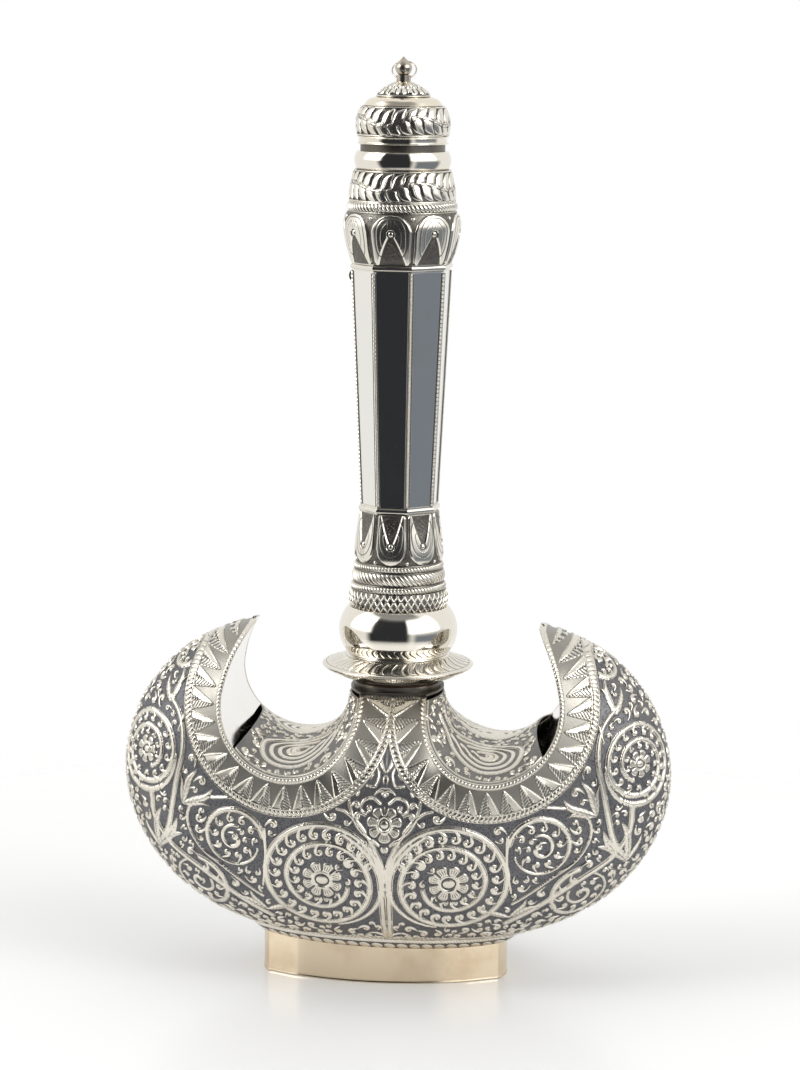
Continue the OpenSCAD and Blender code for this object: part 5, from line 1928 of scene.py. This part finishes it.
@dataclass
class Shaft:
    """The eight-sided shaft with its frames, corner ropes and chain lug.

    Attributes:
        corner: Angle of the neck's corner, in degrees.
        low_r: Corner radius at the foot.
        high_r: Corner radius at the head.
        strip_w: Width of a corner rope.
        strip_t: Height of a corner rope over its flat.
        strand: Distance from strand to strand of a corner rope.
    """

    corner: float = -73.5
    low_r: float = 10.5
    high_r: float = 13.45
    strip_w: float = 1.5
    strip_t: float = 0.45
    strand: float = 1.1

    def build(self) -> None:
        """Build the frames and ropes, and dress the shaft and lug."""
        self.eight_frame("frame_lower")
        self.eight_frame("frame_upper")
        self.ropes()
        dress("shaft", SHAFT)
        dress("chain_lug", DARK)

    def eight_frame(self, node: str) -> None:
        """Build an eight-sided moulding: a step, a hollow and a bead.

        Args:
            node: CAD node that it stands for.
        """
        low, high = span(node)
        box_low, box_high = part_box(node)
        corners = [math.radians(self.corner + 45 * k) for k in range(8)]
        r = (box_high.x - box_low.x) / MM / (max(map(math.cos, corners)) - min(map(math.cos, corners)))
        h = high - low
        outside = [(r - 0.55, low), (r - 0.55, low + 0.18 * h), (r - 0.15, low + 0.26 * h)]
        outside += [(r - 0.15 + 0.15 * math.sin(t), low + 0.5 * h - 0.24 * h * math.cos(t))
                    for t in np.linspace(0.1, math.pi - 0.1, 9)]
        outside += [(r - 0.15, low + 0.76 * h), (r - 0.5, low + 0.84 * h), (r - 0.5, high)]

        def eight(a: Array) -> Array:
            """Return the eight-sided plan's radius at angles, as a share of the corners'."""
            away = (a % (math.pi / 4)) - math.pi / 8
            return math.cos(math.pi / 8) / np.cos(away)

        grid = Turning(outside, 2.2, 384, 0.14, self.corner, eight).grid()
        grid.piece(node.replace("frame", "moulded_frame"), WORKED, "neck", [node], 38)

    def ropes(self) -> None:
        """Build the eight corner ropes, each a closed strip and a piece of its own."""
        low, high = span("corner_strips")
        rows, across = 560, 23
        z = np.linspace(low, high, rows)
        share = (z - low) / (high - low)
        corner_r = self.low_r + (self.high_r - self.low_r) * share
        flat = corner_r - self.strip_w * 0.5 * math.tan(math.radians(22.5))
        v = np.linspace(-1, 1, across)
        height = rope(z[:, None], np.clip(v[None, :] / 0.80, -1, 1), self.strand, 0.5, 0.95)
        height = np.maximum(height, 0.75 * np.exp(-((np.abs(v[None, :]) - 0.93) / 0.06) ** 2))
        out = flat[:, None] + 0.02 + (self.strip_t + 0.12) * height
        side = v[None, :] * self.strip_w * 0.46 * np.ones((rows, 1))
        tone = tone_of(height + 0.1, 0 * height)
        out = np.concatenate([out, np.repeat(flat[:, None] - 0.1, 2, 1)], 1)
        side = np.concatenate([side, side[:, -1:], side[:, :1]], 1)
        tone = np.concatenate([tone, np.full((rows, 2), 0.2)], 1)
        for k in range(8):
            a = math.radians(self.corner + 45 * k)
            points = np.stack([out * math.cos(a) - side * math.sin(a), out * math.sin(a) + side * math.cos(a),
                               np.repeat(z[:, None], across + 2, 1)], -1)
            Grid(points, tone, True).piece(f"corner_rope_{k + 1}", WORKED, "neck", ["corner_strips"])


@dataclass
class NeckHead:
    """What stands between the shaft and the cap: petals, a rope, the leaf collar, the shoulder and the mouth.

    Attributes:
        corner: Angle of the neck's corner, in degrees.
        strands: Strands round the rope.
    """

    corner: float = -73.5
    strands: int = 76

    def build(self) -> None:
        """Build every piece over the shaft."""
        low, high = span("petal_collar_upper")
        h, r = high - low, girth("petal_collar_upper")
        outside = swept([(13.3, low), (14.0, low + h * 0.15), (r - 0.6, low + h * 0.4), (r, low + h * 0.68),
                         (r - 0.2, low + h * 0.85), (14.7, high)], 90)
        collar = PetalCollar(8, self.corner, True, r - 0.6, h)
        Turning(outside, 1.3, 920, 0.11).grid(collar.work, 0.46, 0.26).piece(
            "standing_petals", WORKED, "neck", ["petal_collar_upper"])

        def twist(a: Array, v: Array) -> tuple:
            """Return the rope's height and ink at angles a and runs v."""
            across = 2 * v - 1
            body = rope(a * self.strands / (2 * np.pi), across / 0.84, 1.0, 0.6, 0.95)
            return np.maximum(body, np.exp(-((np.abs(across) - 0.93) / 0.07) ** 2) * 0.8), 0 * a

        Turning(bead("rope_band", 0.4), 1.6, 912, 0.10).grid(twist, 0.44, 0.28).piece(
            "twisted_band", WORKED, "neck", ["rope_band"])
        low, high = span("leaf_collar")
        h = high - low
        outside = swept([(14.15, low), (14.0, low + 0.3 * h), (13.5, low + 0.65 * h), (12.8, high)], 60)
        vine = LeafVine(13.6, h, 4, 7)
        Turning(outside, 1.3, 860, 0.10).grid(vine.work, 0.46, 0.26).piece(
            "vine_collar", WORKED, "neck", ["leaf_collar"])
        Turning(bead("shoulder_ring", 0.7, 30), 1.6, 384, 0.15).grid().piece(
            "polished_shoulder", POLISHED, "neck", ["shoulder_ring"])
        dress("mouth_tube", DARK)
        dress("sprinkler_rose", POLISHED)


@dataclass
class Cap:
    """The slip-on cap with its leaf band, step, rosette, bud and ring.

    Attributes:
        petals: Petals of the rosette.
        ring_r: Mean radius of the ring.
        wire: Radius of its wire.
        lean: Angle that the ring leans back, in degrees.
        eye_r: Radius of the hole that it hangs in.
    """

    petals: int = 12
    ring_r: float = 3.2
    wire: float = 0.2
    lean: float = 45.0
    eye_r: float = 0.7

    def build(self) -> None:
        """Build every piece of the cap."""
        low, high = span("cap_skirt")
        r = girth("cap_skirt")
        skirt = [(r - 0.35, low), (r - 0.02, low + 0.16), (r, low + 0.35), (r - 0.28, low + 0.5),
                 (r - 0.36, low + 0.7), (r - 0.36, high - 0.75), (r - 0.28, high - 0.55), (r, high - 0.4),
                 (r - 0.02, high - 0.18), (r - 0.3, high)]
        Turning(swept(skirt, 70), 0.8, 384, 0.08).grid().piece("plain_skirt", POLISHED, "cap", ["cap_skirt"])
        low, high = span("cap_leaf_band")
        h = high - low
        outside = swept([(12.1, low), (12.45, low + h * 0.3), (12.3, low + h * 0.57), (11.7, low + h * 0.82),
                         (10.9, high)], 60)
        vine = LeafVine(12.1, h, 4, 6, 0.16)
        Turning(outside, 1.1, 780, 0.10).grid(vine.work, 0.44, 0.26).piece(
            "scroll_band", WORKED, "cap", ["cap_leaf_band"])
        low, high = span("cap_step")
        r, h = girth("cap_step"), high - low
        step = swept([(r - 0.12, low), (r, low + 0.22), (r - 0.15, low + 0.45), (r - 1.0, low + 0.62 * h),
                      (r - 2.1, low + 0.84 * h), (r - 3.6, high)], 60)
        Turning(step, 0.9, 384, 0.12).grid().piece("gilt_step", PALE, "cap", ["cap_step"])
        self.rosette()
        self.finial()
        self.ring()

    def rosette(self) -> None:
        """Build the domed rosette of petals."""
        low, high = span("cap_rosette")
        r, h = girth("cap_rosette"), high - low
        arch = swept([(r - 0.1, low), (r, low + 0.3), (0.93 * r, low + 0.24 * h), (0.74 * r, low + 0.52 * h),
                      (0.48 * r, low + 0.80 * h), (1.5, high + 0.05)], 80)

        def petals(a: Array, v: Array) -> tuple:
            """Return the height and ink of the rosette's two rows of petals.

            Args:
                a: Angle.
                v: Run up the dome.

            Returns:
                Height and ink.
            """
            lobe, second = np.abs(np.cos(a * self.petals / 2)), np.abs(np.sin(a * self.petals / 2))
            outer = np.clip((v - 0.08 - 0.16 * (1 - lobe ** 0.6)) * 14, 0, 1) * np.clip(lobe * 3.0, 0, 1)
            inner = np.clip((v - 0.42 - 0.16 * (1 - second ** 0.6)) * 14, 0, 1)
            height = np.where(inner > 0, inner * np.clip(second * 3, 0, 1), outer * (0.6 + 0.4 * lobe))
            ink = np.where((inner > 0) & (second > 0.985) & (v < 0.9), 0.7, (outer > 0.5) * (lobe > 0.98) * (v < 0.4))
            return np.maximum(height, np.exp(-((v - 0.03) / 0.03) ** 2)), ink

        Turning(arch, 0.9, 600, 0.09).grid(petals, 0.34, 0.16).piece("petal_rosette", WORKED, "cap", ["cap_rosette"])

    def finial(self) -> None:
        """Build the bud, and dress the collar that holds the ring."""
        dress("finial_collar", AGED)
        low, high = span("finial_bud")
        r, h = girth("finial_bud"), high - low
        shares = ((0.05, 0.0), (0.55, 0.01), (0.80, 0.12), (0.97, 0.30), (1.0, 0.42), (0.90, 0.56), (0.66, 0.70),
                  (0.36, 0.84), (0.14, 0.95), (0.03, 1.0))
        bud = swept([(r * a, low + h * b) for a, b in shares], 120)
        Turning(bud, 0.04, 128, 0.12).grid().piece("pointed_bud", AGED, "cap", ["finial_bud"])

    def ring(self) -> None:
        """Build the thin ring that leans back from the collar's cross hole."""
        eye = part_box("finial_collar")[1].z / MM - 0.8
        a = np.linspace(0, 2 * math.pi, 96, endpoint=False)
        b = np.linspace(0, 2 * math.pi, 16, endpoint=False)
        r = self.ring_r + self.wire * np.cos(b)[None, :]
        x = r * np.cos(a)[:, None]
        up = r * np.sin(a)[:, None] + self.ring_r - self.eye_r / 2
        y = np.broadcast_to(self.wire * np.sin(b)[None, :], x.shape)
        c, s = math.cos(math.radians(self.lean)), math.sin(math.radians(self.lean))
        points = np.stack([x, y * c + up * s, eye - y * s + up * c], -1)
        Grid(points, np.full(x.shape, 0.9), True, True).piece("wire_ring", AGED, "ring", ["finial_ring"])


@dataclass(frozen=True)
class SkyPatch:
    """A soft-edged bright or dark field of the studio, as the metal mirrors it.

    Attributes:
        azimuth: Direction in degrees, from +X towards +Y.
        elevation: Height over the horizon, in degrees.
        wide: Half width in degrees.
        tall: Half height in degrees.
        soft: Width of its soft edge in degrees.
        colour: Its light.
    """

    azimuth: float
    elevation: float
    wide: float
    tall: float
    soft: float
    colour: tuple


@dataclass
class Studio:
    """The pale floor, the soft lights and the camera.

    Attributes:
        eye: Camera's place, in millimetres.
        aim: Point that it looks at, in millimetres.
        roll: Clockwise turn of the picture, in degrees.
        lens: Focal length over a 36 mm wide sensor.
        frame_w: Width of the photograph, in pixels.
        aim_px: Where the aim lies across the photograph, in pixels.
        room: Light of the room round the metal.
        fade: Distances from the middle, in metres, over which the floor fades into the background.
        patches: Fields that the metal mirrors, each over the ones before it.
    """

    eye: tuple = (78.4, -853.3, 263.3)
    aim: tuple = (0.0, 0.0, 120.9)
    roll: float = 0.56
    lens: float = 144.8
    frame_w: float = 800.0
    aim_px: float = 399.1
    room: tuple = (0.93, 0.93, 0.92)
    fade: tuple = (0.13, 0.34)
    patches: tuple = (
        SkyPatch(-104, 0, 42, 58, 8, (0.030, 0.032, 0.036)),
        SkyPatch(-100, 66, 80, 14, 10, (0.30, 0.30, 0.30)),
        SkyPatch(-166, 30, 26, 24, 5, (1.9, 1.9, 1.88)),
        SkyPatch(-30, 28, 34, 22, 5, (1.9, 1.9, 1.88)),
        SkyPatch(-20, -22, 34, 24, 8, (0.20, 0.225, 0.26)),
    )

    def build(self) -> None:
        """Set up the camera, the floor, the lamps and the world."""
        self.camera()
        self.floor()
        self.world()
        self.lamps()
        scene = bpy.context.scene
        scene.view_settings.view_transform = "Standard"

    def camera(self) -> None:
        """Place the camera where the photograph was taken from."""
        data = bpy.data.cameras.new("studio_camera")
        data.sensor_fit = "HORIZONTAL"
        data.sensor_width = 36.0
        data.lens = self.lens
        data.clip_start, data.clip_end = 0.05, 20.0
        data.shift_x = (self.frame_w / 2 - self.aim_px) / self.frame_w
        made = bpy.data.objects.new("studio_camera", data)
        bpy.context.scene.collection.objects.link(made)
        eye, aim = Vector(self.eye) * MM, Vector(self.aim) * MM
        turn = (aim - eye).to_track_quat("-Z", "Y").to_matrix()
        turn = turn @ Matrix.Rotation(math.radians(self.roll), 3, "Z")
        made.matrix_world = Matrix.Translation(eye) @ turn.to_4x4()
        bpy.context.scene.camera = made

    def floor(self) -> None:
        """Lay the pale floor, a sheet with rounded corners that ends short of the camera."""
        count, reach = 64, 3.0
        a = np.arange(count) / count * 2 * math.pi
        edge = [(reach * math.copysign(abs(math.cos(t)) ** 0.4, math.cos(t)),
                 1.2 + 1.62 * math.copysign(abs(math.sin(t)) ** 0.4, math.sin(t)), 0.0) for t in a]
        mesh = bpy.data.meshes.new("floor_sheet")
        mesh.from_pydata(edge, [], [list(range(count))])
        made = bpy.data.objects.new("floor_sheet", mesh)
        bpy.context.scene.collection.objects.link(made)
        made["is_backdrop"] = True
        paint = bpy.data.materials.new("pale_floor")
        paint.use_nodes = True
        bench = NodeBench(paint.node_tree)
        shader = paint.node_tree.nodes["Principled BSDF"]
        shader.inputs["Base Color"].default_value = (0.90, 0.90, 0.90, 1)
        shader.inputs["Specular IOR Level"].default_value = 0.35
        place = bench.add("ShaderNodeTexCoord").outputs["Object"]
        bench.join(bench.ranged(bench.noise(place, 8.0, 2.0, 0.5), 0.3, 0.7, 0.20, 0.26), shader.inputs["Roughness"])
        gap = bench.add("ShaderNodeVectorMath", operation="LENGTH")
        bench.join(place, gap.inputs[0])
        bench.join(bench.ranged(gap.outputs["Value"], *self.fade, 1.0, 0.0), shader.inputs["Alpha"])
        mesh.materials.append(paint)

    def world(self) -> None:
        """Light the world by direction, with white behind the object for the camera."""
        world = bpy.data.worlds.new("studio_room")
        bpy.context.scene.world = world
        world.use_nodes = True
        bench = NodeBench(world.node_tree)
        tree = world.node_tree
        light = tree.nodes["Background"]
        way = bench.add("ShaderNodeTexCoord").outputs["Generated"]
        split = bench.add("ShaderNodeSeparateXYZ")
        bench.join(way, split.inputs[0])
        x, y, z = split.outputs
        azimuth = bench.math("MULTIPLY", bench.math("ARCTAN2", y, x), 180 / math.pi)
        height = bench.math("MULTIPLY", bench.math("ARCSINE", z), 180 / math.pi)
        last = None
        for patch in self.patches:
            turn = bench.math("WRAP", bench.math("SUBTRACT", azimuth, patch.azimuth), 180.0, -180.0)
            gap = bench.math("ABSOLUTE", turn)
            rise = bench.math("ABSOLUTE", bench.math("SUBTRACT", height, patch.elevation))
            across = bench.ranged(gap, patch.wide - patch.soft, patch.wide + patch.soft, 1.0, 0.0)
            up = bench.ranged(rise, patch.tall - patch.soft, patch.tall + patch.soft, 1.0, 0.0)
            node = bench.add("ShaderNodeMix", data_type="RGBA")
            bench.join(bench.product(across, up), node.inputs[0])
            if last is None:
                node.inputs[6].default_value = (*self.room, 1)
            else:
                bench.join(last, node.inputs[6])
            node.inputs[7].default_value = (*patch.colour, 1)
            last = node.outputs[2]
        bench.join(last, light.inputs["Color"])
        back = bench.add("ShaderNodeBackground")
        back.inputs["Color"].default_value = (1, 1, 1, 1)
        mix = bench.add("ShaderNodeMixShader")
        path = bench.add("ShaderNodeLightPath")
        bench.join(path.outputs["Is Camera Ray"], mix.inputs[0])
        bench.join(light.outputs[0], mix.inputs[1])
        bench.join(back.outputs[0], mix.inputs[2])
        bench.join(mix.outputs[0], tree.nodes["World Output"].inputs["Surface"])

    def lamps(self) -> None:
        """Hang two large soft lamps over the front."""
        for name, place, size, power in (("left_softbox", (-0.95, -0.45, 0.85), 0.50, 4.0),
                                         ("right_softbox", (0.95, -0.50, 0.85), 0.50, 4.0)):
            data = bpy.data.lights.new(name, "AREA")
            data.shape = "SQUARE"
            data.size = size
            data.energy = power
            made = bpy.data.objects.new(name, data)
            bpy.context.scene.collection.objects.link(made)
            aim = Vector((0, 0, 0.10)) - Vector(place)
            made.matrix_world = Matrix.Translation(place) @ aim.to_track_quat("-Z", "Y").to_matrix().to_4x4()


def corners() -> list:
    """Return the shown object's lowest and highest corner as plain lists."""
    return [list(map(float, corner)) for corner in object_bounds()]


def main() -> None:
    """Build the object part by part."""
    logging.basicConfig(level=logging.INFO, format="%(message)s")
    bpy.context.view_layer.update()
    for part in (Flask(), NeckFoot(), Shaft(), NeckHead(), Cap(), Studio()):
        REPORT.info("-- %s", type(part).__name__)
        part.build()
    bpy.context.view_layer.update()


if __name__ == "__main__":
    main()
